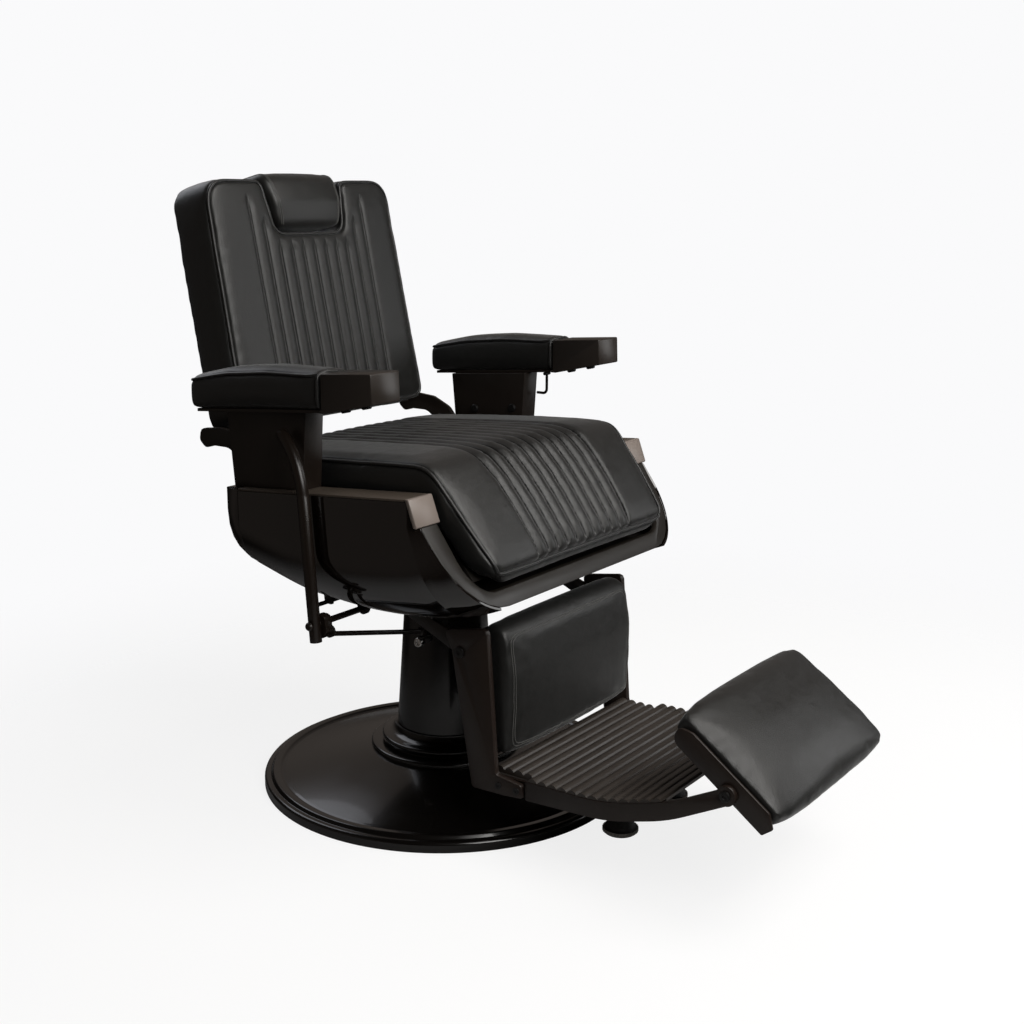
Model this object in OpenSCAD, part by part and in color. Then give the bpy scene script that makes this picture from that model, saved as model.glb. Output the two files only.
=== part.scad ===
// Hydraulic barber chair. Millimetres, +Z up, the front faces -Y, the origin is on the floor under the ram.
// "left" and "right" are the sitter's own: left is +X.

/* [Base and column] */
// Diameter of the round base
base_d = 640; // [580:1:720]
// Thickness of the steel base plate
base_plate_t = 8; // [6:0.5:12]
// Height of the flat top of the base cover
dome_h = 60; // [52:1:75]
// Wall of the base cover
dome_t = 4; // [3:0.5:6]
// Outer diameter of the foot collar
collar_d = 264; // [240:1:300]
// Height of the foot collar
collar_h = 40; // [34:1:50]
// Diameter of the column skirt at its lower edge
skirt_low_d = 170; // [155:1:180]
// Diameter of the column skirt at its top
skirt_top_d = 138; // [134:1:150]
// Wall of the column skirt
skirt_t = 3; // [2:0.5:4]
// Outer diameter of the pump cylinder
pump_d = 100; // [92:1:110]
// Wall of the pump cylinder
pump_t = 8; // [6:0.5:12]
// Diameter of the ram
ram_d = 64; // [50:1:70]
// Stroke of the ram
lift = 160; // [120:1:180]

/* [Seat body] */
// Height of the underside of the seat body
pan_z = 412; // [400:1:460]
// Width over the side shells
body_w = 650; // [620:1:720]
// Thickness of the side shells
shell_t = 4; // [3:0.5:6]
// Radius of the turned-in lower flank of the shells
flank_r = 100; // [70:1:120]
// Width of the top rail on each side
rail_w = 55; // [50:1:62]
// Height of the end caps
cap_h = 42; // [36:1:48]
// Sheet thickness of the under pan
pan_t = 6; // [4:0.5:10]
// Thickness of the seat cushion
seat_t = 54; // [44:1:64]
// Depth of the sewn channels
channel_d = 5; // [2:0.5:7]
// Distance between the sewn channels
channel_pitch = 28; // [24:1:30]

/* [Arms] */
// Width of the arm pads and blocks
arm_w = 64; // [58:1:72]
// Height of the arm pads at their sides
arm_h = 52; // [44:1:60]
// Length of the arm blocks
block_l = 98; // [80:1:120]
// Thickness of the uprights
upright_t = 41; // [34:1:46]
// Height of the uprights
upright_h = 130; // [110:1:150]

/* [Back] */
// Width of the back cushion at its foot
back_low_w = 468; // [440:1:480]
// Width of the back cushion at its top
back_top_w = 448; // [420:1:460]
// Length of the back cushion, measured up its slope
back_l = 411; // [370:1:440]
// Thickness of the soft front of the back
back_soft_t = 58; // [48:1:64]
// Thickness of the core board of the back
core_t = 26; // [22:1:30]
// Lean of the back from upright
back_lean = 12; // [8:1:16]
// Width of the notch that holds the headrest
notch_w = 196; // [188:1:204]
// Depth of the notch
notch_h = 90; // [80:1:96]
// Travel of the headrest
headrest_travel = 70; // [40:1:80]

/* [Leg rest] */
// Width over the leg rest plates
leg_w = 404; // [390:1:414]
// Thickness of the leg rest plates
leg_t = 10; // [8:0.5:12]
// Length of the leg rest, from its pivot down to the tread
leg_drop = 190; // [175:1:205]
// Thickness of the calf cushion
calf_t = 52; // [40:1:60]
// Thickness of the tread side rails
tread_rail_t = 8; // [6:0.5:10]
// Distance between the ribs of the tread
rib_pitch = 17; // [14:0.5:22]
// Height of the ribs of the tread
rib_h = 6; // [4:0.5:8]
// Length of the foot pad
foot_l = 204; // [180:1:220]
// Thickness of the foot cushion
foot_t = 60; // [48:1:66]

/* [Lever] */
// Diameter of the side lever tube
lever_d = 19; // [16:0.5:22]
// Length of the straight part of the lever above its pivot
lever_l = 200; // [180:1:205]
// Diameter of the cross shaft
shaft_d = 10; // [8:0.5:12]
// Diameter of the link rod
rod_d = 8; // [6:0.5:9]
// Diameter of the release handle wire
wire_d = 5; // [4:0.5:6]

/* [Hidden] */

$fn = 64;
touch = 0.3;           // gap between a cushion and what carries it
run_fit = 0.05;        // radial clearance of a running fit
hinge_gap = 0.5;       // side clearance between hinge plates

// -------------------------------- outline and form helpers

function unit(v) = v / norm(v);
function clamp(v, low, high) = min(max(v, low), high);

// Arc of n steps that rounds the corner b between a and c with radius r
function corner(a, b, c, r, n) =
    let (
        u = unit(a - b),
        w = unit(c - b),
        half = acos(u * w) / 2,
        centre = b + unit(u + w) * r / sin(half),
        from = b + u * r / tan(half) - centre,
        to = b + w * r / tan(half) - centre,
        start = atan2(from.y, from.x),
        sweep = (atan2(to.y, to.x) - start + 540) % 360 - 180)
    [for (i = [0:n]) centre + r * [cos(start + sweep * i / n), sin(start + sweep * i / n)]];

// Closed outline from [x, y, radius] corners
function outline(points, n = 5) =
    let (count = len(points))
    [for (i = [0:count - 1])
        let (
            a = points[(i + count - 1) % count],
            b = points[i],
            c = points[(i + 1) % count],
            steps = b.z < 12 ? min(n, 2) : n)
        each b.z == 0
            ? [[b.x, b.y]]
            : corner([a.x, a.y], [b.x, b.y], [c.x, c.y], b.z, steps)];

// Outward normal of a closed outline that runs counter-clockwise, at point i
function normal_at(ring, i) =
    let (
        count = len(ring),
        way = unit(ring[(i + 1) % count] - ring[(i + count - 1) % count]))
    [way.y, -way.x];

// The outline drawn in by depth(i), along its own normals
function drawn_in(ring, depths) =
    [for (i = [0:len(ring) - 1]) ring[i] - normal_at(ring, i) * depths[i]];

// 2D shapes on the YZ plane, carried along X from x0 to x1
module along_x(x0, x1) {
    translate([x0, 0, 0])
        rotate([90, 0, 90])
            linear_extrude(x1 - x0) children();
}

// 2D shapes on the XZ plane, carried along Y from y0 to y1
module along_y(y0, y1) {
    translate([0, y1, 0])
        rotate([90, 0, 0])
            linear_extrude(y1 - y0) children();
}

// Round bar along X, centred on [y, z]
module bar_x(x0, x1, y, z, d) {
    translate([x0, y, z])
        rotate([0, 90, 0])
            cylinder(h = x1 - x0, d = d);
}

// Round head with an eased rim, standing on the XY plane
module bolt_head(r, h) {
    rotate_extrude()
        polygon([[0, 0], [r, 0], [r, 2], [r - 2, h], [0, h]]);
}

// Draws the left side as it is, and the right side mirrored
module on_side(side) {
    if (side > 0) children();
    else mirror([1, 0, 0]) children();
}

module both_sides() {
    children();
    mirror([1, 0, 0]) children();
}

// A stuffed form: rings of points, one after another, closed at both ends
module stuffed(rings) {
    size = len(rings[0]);
    last = len(rings) - 1;
    faces = [
        [for (j = [0:size - 1]) j],
        for (i = [0:last - 1], j = [0:size - 1])
            let (
                a = i * size + j,
                b = i * size + (j + 1) % size)
            each [[a, a + size, b], [b, a + size, b + size]],
        [for (j = [size - 1:-1:0]) last * size + j]];
    polyhedron([for (ring = rings) each ring], faces, convexity = 6);
}

// -------------------------------- places and lines

base_r = base_d / 2;
half_w = body_w / 2;
rail_in = half_w - rail_w;              // inner edge of the top rails
pan_top = pan_z + pan_t;

// Top line of the side rails: it falls to the rear
rail_front = [-188, pan_z + 168];
rail_rear = [202, pan_z + 136];
function line_z(a, b, y) = a.y + (b.y - a.y) * (y - a.x) / (b.x - a.x);
function rail_z(y) = line_z(rail_front, rail_rear, y);

// Front of the body: a flat plane that leans back between the end caps and the bottom edge
front_top = [rail_front.x - 16, rail_front.y - cap_h];
front_foot = [-298, pan_z - 3];
front_run = (front_top.x - front_foot.x) / (front_top.y - front_foot.y);
front_slant = norm([1, front_run]);     // level depth of a sheet one unit thick in that plane
function front_y(z) = front_foot.x + front_run * (z - front_foot.y);

// Line of the bottom between the turned-in flanks, as heights over the pan's underside
belly = [[-298, -2], [-233, -21], [-190, -30], [-150, -36], [-60, -41],
    [10, -38], [60, -34], [100, -26], [150, -13], [205, 2]];

// Split between the side shells and the rear panel
rear_split = 163;
split_gap = 0.6;
web_t = 6;                              // side frame plates
web_x = rail_in + 8;                    // their inner face
web_gap = 0.3;                          // between the shells and what stands inside them

// Pivots, as [y, z]
back_pivot = [190, pan_z + 150];
leg_pivot = [-187, pan_z - 96];
lever_pivot = [-12.5, pan_z - 50];
back_pin_d = 16;
back_arm_t = 8;
back_arm_x = rail_in - 8;               // outer face of the back arms
pin_head_t = 2;
leg_pin_d = 14;
foot_pin_d = 12;

// -------------------------------- base

module base_plate() {
    color("dimgray")
        cylinder(h = base_plate_t, r = base_r - 22);
}

rim_in = base_r - 28;
module cover_profile(inset) {
    polygon([
        each [[0, 0], [base_r - inset, 0], [base_r - inset, 6]],
        each corner([base_r, 5], [base_r, 17] - [inset, inset], [base_r - 10, 17], 5, 4),
        each corner([base_r - 10, 16], [base_r - 16, 23] - [0, inset], [base_r - 24, 22], 5, 4),
        each [[rim_in - 3, 20 - inset], [rim_in - 8, 21.5 - inset]],
        each [for (k = [1:6])
            let (t = k / 6)
            [rim_in - 8 - (rim_in - 8 - collar_d / 2) * t,
             21.5 - inset + (dome_h - 21.5) * (0.72 * t + 0.28 * sin(90 * t))]],
        [0, dome_h - inset]]);
}

module base_cover() {
    color([0.13, 0.12, 0.12])
        difference() {
            rotate_extrude($fn = 128) cover_profile(0);
            translate([0, 0, -1])
                cylinder(h = base_plate_t + 1.2, r = base_r - 21.8);
            intersection() {
                rotate_extrude($fn = 128) cover_profile(dome_t);
                translate([0, 0, base_plate_t])
                    cylinder(h = dome_h, r = base_r - 26);
            }
            cylinder(h = dome_h + 1, d = pump_d + 4);
        }
}

collar_top = dome_h + collar_h;
module foot_collar() {
    r = collar_d / 2;
    foot_r = r - 23;
    top_r = skirt_low_d / 2 + 1;
    color([0.13, 0.12, 0.12])
        rotate_extrude($fn = 96)
            difference() {
                polygon([
                    [top_r - 12, dome_h],
                    [r, dome_h],
                    each corner([r, dome_h], [r, dome_h + 9], [foot_r, dome_h + 9], 4.5, 4),
                    [foot_r - 2, dome_h + 10],
                    each corner([foot_r - 2, dome_h + 10], [foot_r + 3, dome_h + 21], [top_r, collar_top], 7, 4),
                    each [for (k = [1:4])
                        let (a = 90 * k / 4)
                        [foot_r - 3 - (foot_r - 3 - top_r) * sin(a),
                         dome_h + 24 + (collar_h - 24) * (1 - cos(a))]],
                    [top_r - 12, collar_top]]);
                polygon([
                    [top_r - 20, dome_h - 1],
                    [r - 8, dome_h - 1],
                    [foot_r - 7, dome_h + 12],
                    [top_r - 5, collar_top - 8],
                    [top_r - 8, collar_top + 1],
                    [top_r - 20, collar_top + 1]]);
            }
}

pump_r = pump_d / 2;
bore_r = pump_r - pump_t;
pump_top = pan_z - 112;
flange_t = 14;
flange_r = pump_r + 34;
bolt_circle = pump_r + 20;
module pump_cylinder() {
    color("darkgray")
        difference() {
            union() {
                translate([0, 0, base_plate_t])
                    cylinder(h = flange_t, r = flange_r);
                translate([0, 0, base_plate_t])
                    cylinder(h = pump_top - base_plate_t, r = pump_r);
            }
            translate([0, 0, base_plate_t + flange_t])
                cylinder(h = pump_top, r = bore_r);
        }
}

module pump_bolts() {
    color("silver")
        for (a = [0:60:300])
            rotate([0, 0, a])
                translate([bolt_circle, 0, base_plate_t + flange_t])
                    cylinder(h = 8, r = 9, $fn = 6);
}

gland_h = 16;
module gland_ring() {
    color("gray")
        difference() {
            translate([0, 0, pump_top])
                cylinder(h = gland_h, r = pump_r + 3);
            translate([0, 0, pump_top - 1])
                cylinder(h = gland_h + 2, r = ram_d / 2 + run_fit);
        }
}

// -------------------------------- ram

head_plate_t = 10;
head_low = pan_z - head_plate_t - 62;   // underside of the hub
bearing_h = 6;
ram_shoulder_z = head_low - bearing_h;
shoulder_h = 10;
piston_h = 22;
piston_z = base_plate_t + flange_t + 16;
spigot_d = ram_d - 8;
spigot_h = 56;
hub_r = skirt_top_d / 2 - 8;

module ram() {
    color("lightgray")
        rotate_extrude()
            polygon([
                [0, piston_z + piston_h],
                [ram_d / 2, piston_z + piston_h],
                [ram_d / 2, ram_shoulder_z - shoulder_h],
                [hub_r - 6, ram_shoulder_z - shoulder_h],
                [hub_r - 6, ram_shoulder_z],
                [spigot_d / 2, ram_shoulder_z],
                [spigot_d / 2, head_low + spigot_h - 3],
                [spigot_d / 2 - 3, head_low + spigot_h],
                [0, head_low + spigot_h]]);
}

module ram_piston() {
    color("gray")
        rotate_extrude()
            difference() {
                translate([0, piston_z]) square([bore_r - run_fit, piston_h]);
                translate([bore_r - 3, piston_z + 8]) square([4, 5]);
            }
}

module thrust_bearing() {
    color("silver")
        rotate_extrude()
            difference() {
                translate([spigot_d / 2 + 1, ram_shoulder_z])
                    square([hub_r - 8 - spigot_d / 2, bearing_h]);
                translate([hub_r - 7, ram_shoulder_z + bearing_h / 2])
                    circle(d = 2, $fn = 16);
            }
}

// -------------------------------- column head and skirt

head_plate_l = 240;
head_plate_w = 260;
module seat_head() {
    color([0.2, 0.19, 0.19])
        difference() {
            union() {
                translate([0, 0, head_low])
                    cylinder(h = pan_z - head_low, r = hub_r);
                translate([-head_plate_w / 2, -head_plate_l / 2, pan_z - head_plate_t])
                    cube([head_plate_w, head_plate_l, head_plate_t]);
                for (a = [0:90:270])
                    rotate([0, 0, a])
                        along_x(-5, 5)
                            polygon([
                                [0, head_low + 22],
                                [hub_r + 2, head_low + 22],
                                [head_plate_l / 2 - 6, pan_z - head_plate_t + 1],
                                [0, pan_z - head_plate_t + 1]]);
            }
            translate([0, 0, head_low - 1])
                cylinder(h = spigot_h + 2, r = spigot_d / 2 + run_fit);
        }
}

skirt_gap = 2;
skirt_low = collar_top + skirt_gap;
skirt_top = head_low + 18;
module column_skirt() {
    low_r = skirt_low_d / 2;
    top_r = skirt_top_d / 2;
    color([0.14, 0.13, 0.13])
        rotate_extrude($fn = 96)
            polygon([
                [low_r - skirt_t, skirt_low],
                [low_r, skirt_low],
                [top_r, skirt_top - 3],
                [top_r - 3, skirt_top],
                [hub_r + 0.3, skirt_top],
                [hub_r + 0.3, skirt_top - 4],
                [top_r - skirt_t, skirt_top - 4]]);
}

// Screw that holds the skirt, set square to the cone
screw_z = pan_z - 150;
screw_d = 19;
boss_d = 9;
function skirt_r(z) =
    (skirt_low_d + (skirt_top_d - skirt_low_d) * (z - skirt_low) / (skirt_top - skirt_low)) / 2;
module skirt_screw() {
    cone = atan2((skirt_low_d - skirt_top_d) / 2, skirt_top - skirt_low);
    color("gainsboro")
        rotate([0, 0, 182])
            translate([skirt_r(screw_z), 0, screw_z])
                rotate([0, 90 - cone, 0])
                    difference() {
                        bolt_head(screw_d / 2, 6);
                        translate([0, 0, 3])
                            cylinder(h = 4, d = screw_d * 0.42, $fn = 6);
                    }
    color([0.1, 0.1, 0.1])
        rotate([0, 0, 196])
            translate([skirt_r(screw_z + 8), 0, screw_z + 8])
                rotate([0, 90 - cone, 0])
                    cylinder(h = 9, d = boss_d);
}

// -------------------------------- seat body

// Side outline of the seat body, smaller by inset above and behind, open in front where inset is set
function body_side(inset) =
    let (open = inset > 0 ? 60 : 0)
    [
        [rail_rear.x - inset, rail_rear.y - inset, 8],
        [rail_front.x - open, rail_front.y - inset, 0],
        [front_top.x - open, front_top.y, 0],
        [front_foot.x - open, front_foot.y, 0],
        [front_foot.x - open, front_foot.y - 60, 0],
        [-130, pan_z - 70, 0],
        [40, pan_z - 70, 0],
        [rail_rear.x + 4 - inset, pan_z - 4 + inset, 60]];

// One half of a cross-section: up the side, then round the flank and in to the middle
function flank(w, low, r) =
    [
        [w, pan_z + 190],
        for (k = [0:7]) [w - r + r * cos(90 * k / 7), low + r - r * sin(90 * k / 7)]];

// A cross-section across the body. Where lean is set it follows the slope of the front
function body_ring(y, lean, w, low, r) =
    [for (p = [each flank(w, low, r), for (k = [8:-1:0]) let (q = flank(w, low, r)[k]) [-q.x, q.y]])
        [p.x, y + lean * front_run * (p.y - front_foot.y), p.y]];

// The whole outside of the seat body, made smaller by inset all round
facet_in = 9;                           // the front edge is this much narrower on each side
module body_form(inset) {
    r = flank_r - inset;
    w = half_w - inset;
    function low(y) = pan_z + lookup(y, belly) + inset;
    rear_r = 28;
    function tail(y) = rear_r * (1 - sqrt(1 - pow(clamp((y - (204 - rear_r)) / rear_r, 0, 1), 2)));
    intersection() {
        stuffed([
            body_ring(front_foot.x - 80, 1, w - facet_in, low(front_foot.x), r),
            body_ring(front_foot.x, 1, w - facet_in, low(front_foot.x), r),
            body_ring(-233, 0.5, w, low(-233), r),
            body_ring(-190, 0.45, w, low(-190), r),
            body_ring(-130, 0.3, w, low(-130), r),
            body_ring(-60, 0.15, w, low(-60), r),
            for (y = [10, 60, 100, 150, 176, 190, 198, 203])
                body_ring(y, 0, w - tail(y), low(y), r),
            body_ring(240, 0, w - rear_r, low(205), r)]);
        along_x(-half_w - 1, half_w + 1)
            polygon(outline(body_side(inset), 5));
    }
}

turn_in = half_w - flank_r + 15;        // how far the shells reach in underneath
module side_shell(side) {
    color([0.10, 0.09, 0.085])
        on_side(side)
            intersection() {
                difference() {
                    body_form(0);
                    body_form(shell_t);
                    // room for the end cap
                    along_x(0, half_w + 1)
                        polygon([
                            [-500, front_top.y - web_gap],
                            [cap_rear + touch, front_top.y - web_gap],
                            [cap_rear + touch, rail_front.y + 60],
                            [-500, rail_front.y + 60]]);
                }
                along_y(-400, rear_split - split_gap)
                    polygon([
                        [turn_in, pan_z - 100],
                        [half_w + 10, pan_z - 100],
                        [half_w + 10, pan_z + 300],
                        [rail_in, pan_z + 300],
                        [rail_in, pan_z + 60],
                        [turn_in, pan_z + 60]]);
            }
}

// Side frames: web plates that stand on the pan inside the shells and carry the rails
module side_frames() {
    color([0.2, 0.19, 0.18])
        both_sides()
            intersection() {
                difference() {
                    along_x(web_x, web_x + web_t)
                        polygon([
                            [rear_split - 8, pan_top],
                            [rear_split - 8, pan_z + 190],
                            [cap_rear + 1, pan_z + 190],
                            [cap_rear + 1, front_top.y + 4],
                            [front_y(pan_top + 80) + 14, pan_top + 80],
                            [-190, pan_top]]);
                    for (y = [40, -70])
                        bar_x(web_x - 1, web_x + web_t + 1, y, pan_z + 82, 90);
                }
                body_form(shell_t + web_gap);
            }
}

cap_t = 6;
cap_rear = rail_front.x + cap_t;
module end_cap(side) {
    color([0.42, 0.39, 0.37])
        on_side(side)
            along_x(rail_in, half_w)
                polygon(outline([
                    [cap_rear, rail_z(cap_rear), 0],
                    [rail_front.x - 1, rail_z(rail_front.x - 1), 2],
                    [front_top.x - 1, front_top.y, 2],
                    [front_top.x + cap_t, front_top.y, 0]], 3));
}

// Front frame: one U-shaped strip that runs down both sides and across under the cushion
strip_t = 8;
strip_deep = strip_t * front_slant;
strip_in = half_w - 49;                 // inner half width between its legs
strip_low = pan_z + 24;                 // its upper edge in the middle
module front_frame() {
    color([0.26, 0.24, 0.23])
        intersection() {
            body_form(shell_t + web_gap);
            difference() {
                along_x(-half_w, half_w)
                    polygon([
                        [front_y(front_foot.y) + 1, front_foot.y],
                        [front_y(front_foot.y) + 1 + strip_deep, front_foot.y],
                        [front_y(front_top.y) + 1 + strip_deep, front_top.y - 0.3],
                        [front_y(front_top.y) + 1, front_top.y - 0.3]]);
                along_y(-400, 0)
                    polygon(outline([
                        [-strip_in, pan_z + 200, 0],
                        [-strip_in, strip_low, 50],
                        [strip_in, strip_low, 50],
                        [strip_in, pan_z + 200, 0]], 7));
            }
        }
}

module rear_panel() {
    slot_in = back_arm_x - back_arm_t - 4;
    color([0.11, 0.10, 0.095])
        intersection() {
            difference() {
                body_form(0);
                body_form(shell_t);
                // open above between the rails, and slots where the back arms swing
                translate([-slot_in, -400, rail_rear.y - 14])
                    cube([2 * slot_in, 800, 100]);
                both_sides()
                    translate([slot_in - 0.1, 0, back_pivot.y - 72])
                        cube([rail_in + 1 - slot_in, 400, 200]);
            }
            translate([-half_w - 10, rear_split, pan_z - 100])
                cube([body_w + 20, 240, 400]);
        }
}

// Flat pan under the seat
pan_rear = 158;
module under_pan() {
    color([0.2, 0.19, 0.18])
        intersection() {
            along_x(-half_w, half_w)
                polygon([
                    [pan_rear, pan_z],
                    [pan_rear, pan_top],
                    [front_y(pan_top) + 1 + strip_deep + touch, pan_top],
                    [front_y(pan_z) + 1 + strip_deep + touch, pan_z]]);
            body_form(shell_t + web_gap);
        }
}

// Seat cushion: outline seen from the side, counter-clockwise from the left
seat_front = [-172, pan_z + 208];
seat_rear = [236, pan_z + 178];
seat_lip = [-290, pan_z + 57];
seat_bend = [seat_front.x + 14, seat_front.y - seat_t - 6];
seat_side = outline([
    [seat_rear.x, seat_rear.y, 20],
    [100, line_z(seat_front, seat_rear, 100) + 2, 0],
    [-40, line_z(seat_front, seat_rear, -40) + 2, 0],
    [seat_front.x, seat_front.y, 46],
    [-236, pan_z + 131, 0],
    [seat_lip.x, seat_lip.y, 22],
    [seat_lip.x + 14, seat_lip.y - 29, 12],
    [seat_lip.x + 38, seat_lip.y - 22, 0],
    [seat_bend.x, seat_bend.y, 24],
    [seat_rear.x - 4, seat_rear.y - seat_t + 14, 0]], 3);

seat_half = rail_in - 8;
function channel(x) =
    let (
        last = 5 * channel_pitch,
        t = abs(x) > last ? 0 : abs(sin(180 * x / channel_pitch)))
    abs(x) > last + 0.5 ? 0 : channel_d * (1 - t);
function edge_round(x, half, r) =
    let (t = clamp((abs(x) - (half - r)) / r, 0, 1))
    r * (1 - sqrt(1 - t * t));
function stations(half, r) =
    let (
        edge = [for (a = [90:-22.5:22.5]) half - r + r * sin(a)],
        last = 5 * channel_pitch,
        plain = [half - r - 0.2 * (half - r - last), (half - r + last) / 2, last + 6],
        side = [each edge, each plain],
        grooves = [for (i = [-15:15]) i * channel_pitch / 3])
    [
        for (x = side) -x,
        for (x = grooves) x,
        for (i = [len(side) - 1:-1:0]) side[i]];

// The cushion is widest at its front bend and a little narrower at both ends
function seat_width(y) =
    lookup(y, [[-302, 0.9], [-288, 0.94], [-272, 0.958], [-172, 1], [-60, 0.988], [60, 0.97], [170, 0.95], [236, 0.945]]);
function top_share(n, way) = clamp(2.4 * (n * way) - 0.5, 0, 1);

module seat_cushion() {
    r = 9;
    way = unit([-0.5, 0.86]);
    shares = [for (i = [0:len(seat_side) - 1]) top_share(normal_at(seat_side, i), way)];
    rings = [for (x = stations(seat_half, r))
        let (
            crown = 7 * (1 - pow(x / seat_half, 2)),
            ring = drawn_in(seat_side, [for (s = shares)
                edge_round(x, seat_half, r) + s * (channel(x) - crown)]))
        [for (p = ring) [x * seat_width(p.x), p.x, p.y]]];
    color([0.06, 0.06, 0.06]) stuffed(rings);
}

// Plywood board under the seat cushion, bent over the front
board_t = 12;
board_rear = [seat_rear.x - 8, seat_rear.y - seat_t + 14 - touch];
board_bend = seat_bend + [0.3, -0.4];
module seat_board() {
    half = seat_half - 16;
    lip = [seat_lip.x + 42, seat_lip.y - 20];
    color("tan")
        along_x(-half, half)
            polygon(outline([
                [board_rear.x, board_rear.y, 0],
                [board_bend.x, board_bend.y, 24],
                [lip.x, lip.y, 0],
                [lip.x + board_t, lip.y - 4, 0],
                [board_bend.x + 8, board_bend.y - board_t, 12],
                [board_rear.x, board_rear.y - board_t, 0]], 3));
}

// Two rails that carry the board on the pan
frame_x = 110;
frame_t = 6;
module under_frame() {
    function under(y) = line_z(board_bend + [8, -board_t], board_rear - [0, board_t], y);
    color([0.2, 0.2, 0.2])
        both_sides()
            difference() {
                along_x(frame_x, frame_x + frame_t)
                    polygon([
                        [-120, pan_top],
                        [150, pan_top],
                        [150, under(150)],
                        [-120, under(-120)]]);
                for (y = [-85, 10, 105])
                    bar_x(frame_x - 1, frame_x + frame_t + 1, y, pan_top + 58, 62);
            }
}

// -------------------------------- arms

upright_in = rail_in - 1;
upright_low_y = [33, 184];
upright_top_y = [25, 196];
arm_lift = -0.085;                      // the arm falls towards the rear by this much for each unit
function arm_under(y) = rail_z(36) + upright_h + 4 + arm_lift * (y + 27);
arm_in = rail_in + 3;
arm_out = arm_in + arm_w;
arm_mid = (arm_in + arm_out) / 2;
arm_plate_t = 5;
block_rear = -33;
block_front = block_rear - block_l;
pad_rear = 255;

module upright(side) {
    wall = 4;
    top_line = [
        [upright_top_y[1], arm_under(upright_top_y[1]) - arm_plate_t],
        [upright_top_y[0], arm_under(upright_top_y[0]) - arm_plate_t]];
    shape = [
        [upright_low_y[0], rail_z(upright_low_y[0])],
        [upright_low_y[1], rail_z(upright_low_y[1])],
        top_line[0],
        top_line[1]];
    color([0.15, 0.14, 0.135])
        on_side(side)
            difference() {
                along_x(upright_in, upright_in + upright_t)
                    polygon(shape);
                along_x(upright_in + wall, upright_in + upright_t - wall)
                    translate([0, -wall])
                        offset(delta = -wall)
                            polygon(shape);
            }
}

module upright_bolts() {
    color([0.1, 0.1, 0.1])
        both_sides()
            for (p = [[53, 57], [140, 48]])
                translate([upright_in, p.x, rail_z(36) + p.y])
                    rotate([0, -90, 0])
                        bolt_head(8, 3.5);
}

module arm_plates() {
    color([0.15, 0.14, 0.135])
        both_sides()
            along_x(arm_in + 6, arm_out - 6)
                polygon([
                    [block_rear + 4, arm_under(block_rear + 4)],
                    [block_rear + 4, arm_under(block_rear + 4) - arm_plate_t],
                    [pad_rear - 14, arm_under(pad_rear - 14) - arm_plate_t],
                    [pad_rear - 14, arm_under(pad_rear - 14)]]);
}

// Arm pad: outline across the arm, drawn in towards the rear end
function arm_rounding(y) =
    let (t = clamp((y - (pad_rear - 14)) / 14, 0, 1))
    14 * (1 - sqrt(1 - t * t));
module arm_pad(side) {
    half = arm_w / 2;
    section = outline([
        [-half, 0, 7],
        [half, 0, 7],
        [half + 1, arm_h * 0.5, 0],
        [half, arm_h, 3],
        [half * 0.5, arm_h + 6, 0],
        [-half * 0.5, arm_h + 6, 0],
        [-half, arm_h, 3],
        [-half - 1, arm_h * 0.5, 0]], 3);
    function crown(y) = lookup(y, [[block_rear, 1], [20, 1.06], [80, 1.13], [170, 1.1], [pad_rear, 0.9]]);
    ys = [
        block_rear + 0.5, block_rear + 4, 20, 80, 130, 170, 210,
        for (a = [0:22.5:90]) pad_rear - 14 + 14 * sin(a)];
    rings = [for (y = ys)
        let (
            pinch = max(arm_rounding(y), 3 * (1 - clamp((y - block_rear) / 4, 0, 1))),
            share = 1 - pinch / half,
            mid = arm_h * 0.5)
        [for (p = section)
            [arm_mid + p.x * share, y, arm_under(y) + (mid + (p.y - mid) * share) * crown(y) + touch]]];
    color([0.06, 0.06, 0.06])
        on_side(side)
            stuffed([for (i = [len(rings) - 1:-1:0]) rings[i]]);
}

module arm_block(side) {
    color([0.2, 0.185, 0.175])
        on_side(side)
            along_x(arm_in, arm_out)
                polygon(outline([
                    [block_rear, arm_under(block_rear) + arm_h + 2, 0],
                    [block_front, arm_under(block_front) + arm_h + 1, 2],
                    [block_front - 2, arm_under(block_front) + 8, 2],
                    [block_rear - 6, arm_under(block_rear) - arm_plate_t, 2],
                    [block_rear + 3.8, arm_under(block_rear) - arm_plate_t, 0],
                    [block_rear + 3.8, arm_under(block_rear) - 0.5, 0],
                    [block_rear, arm_under(block_rear) - 0.5, 0]], 3));
}

// Underside of an arm block at y
function block_under(y) = line_z(
    [block_rear - 6, arm_under(block_rear) - arm_plate_t],
    [block_front - 2, arm_under(block_front) + 8], y);
module arm_screws() {
    tilt = atan2(block_under(-95) - block_under(-54), 95 - 54);
    color([0.1, 0.1, 0.1])
        both_sides()
            for (y = [-54, -95])
                translate([arm_mid, y, block_under(y)])
                    rotate([-tilt, 0, 0])
                        rotate([180, 0, 0])
                            bolt_head(8, 4);
}

// -------------------------------- what hangs under the seat

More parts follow.
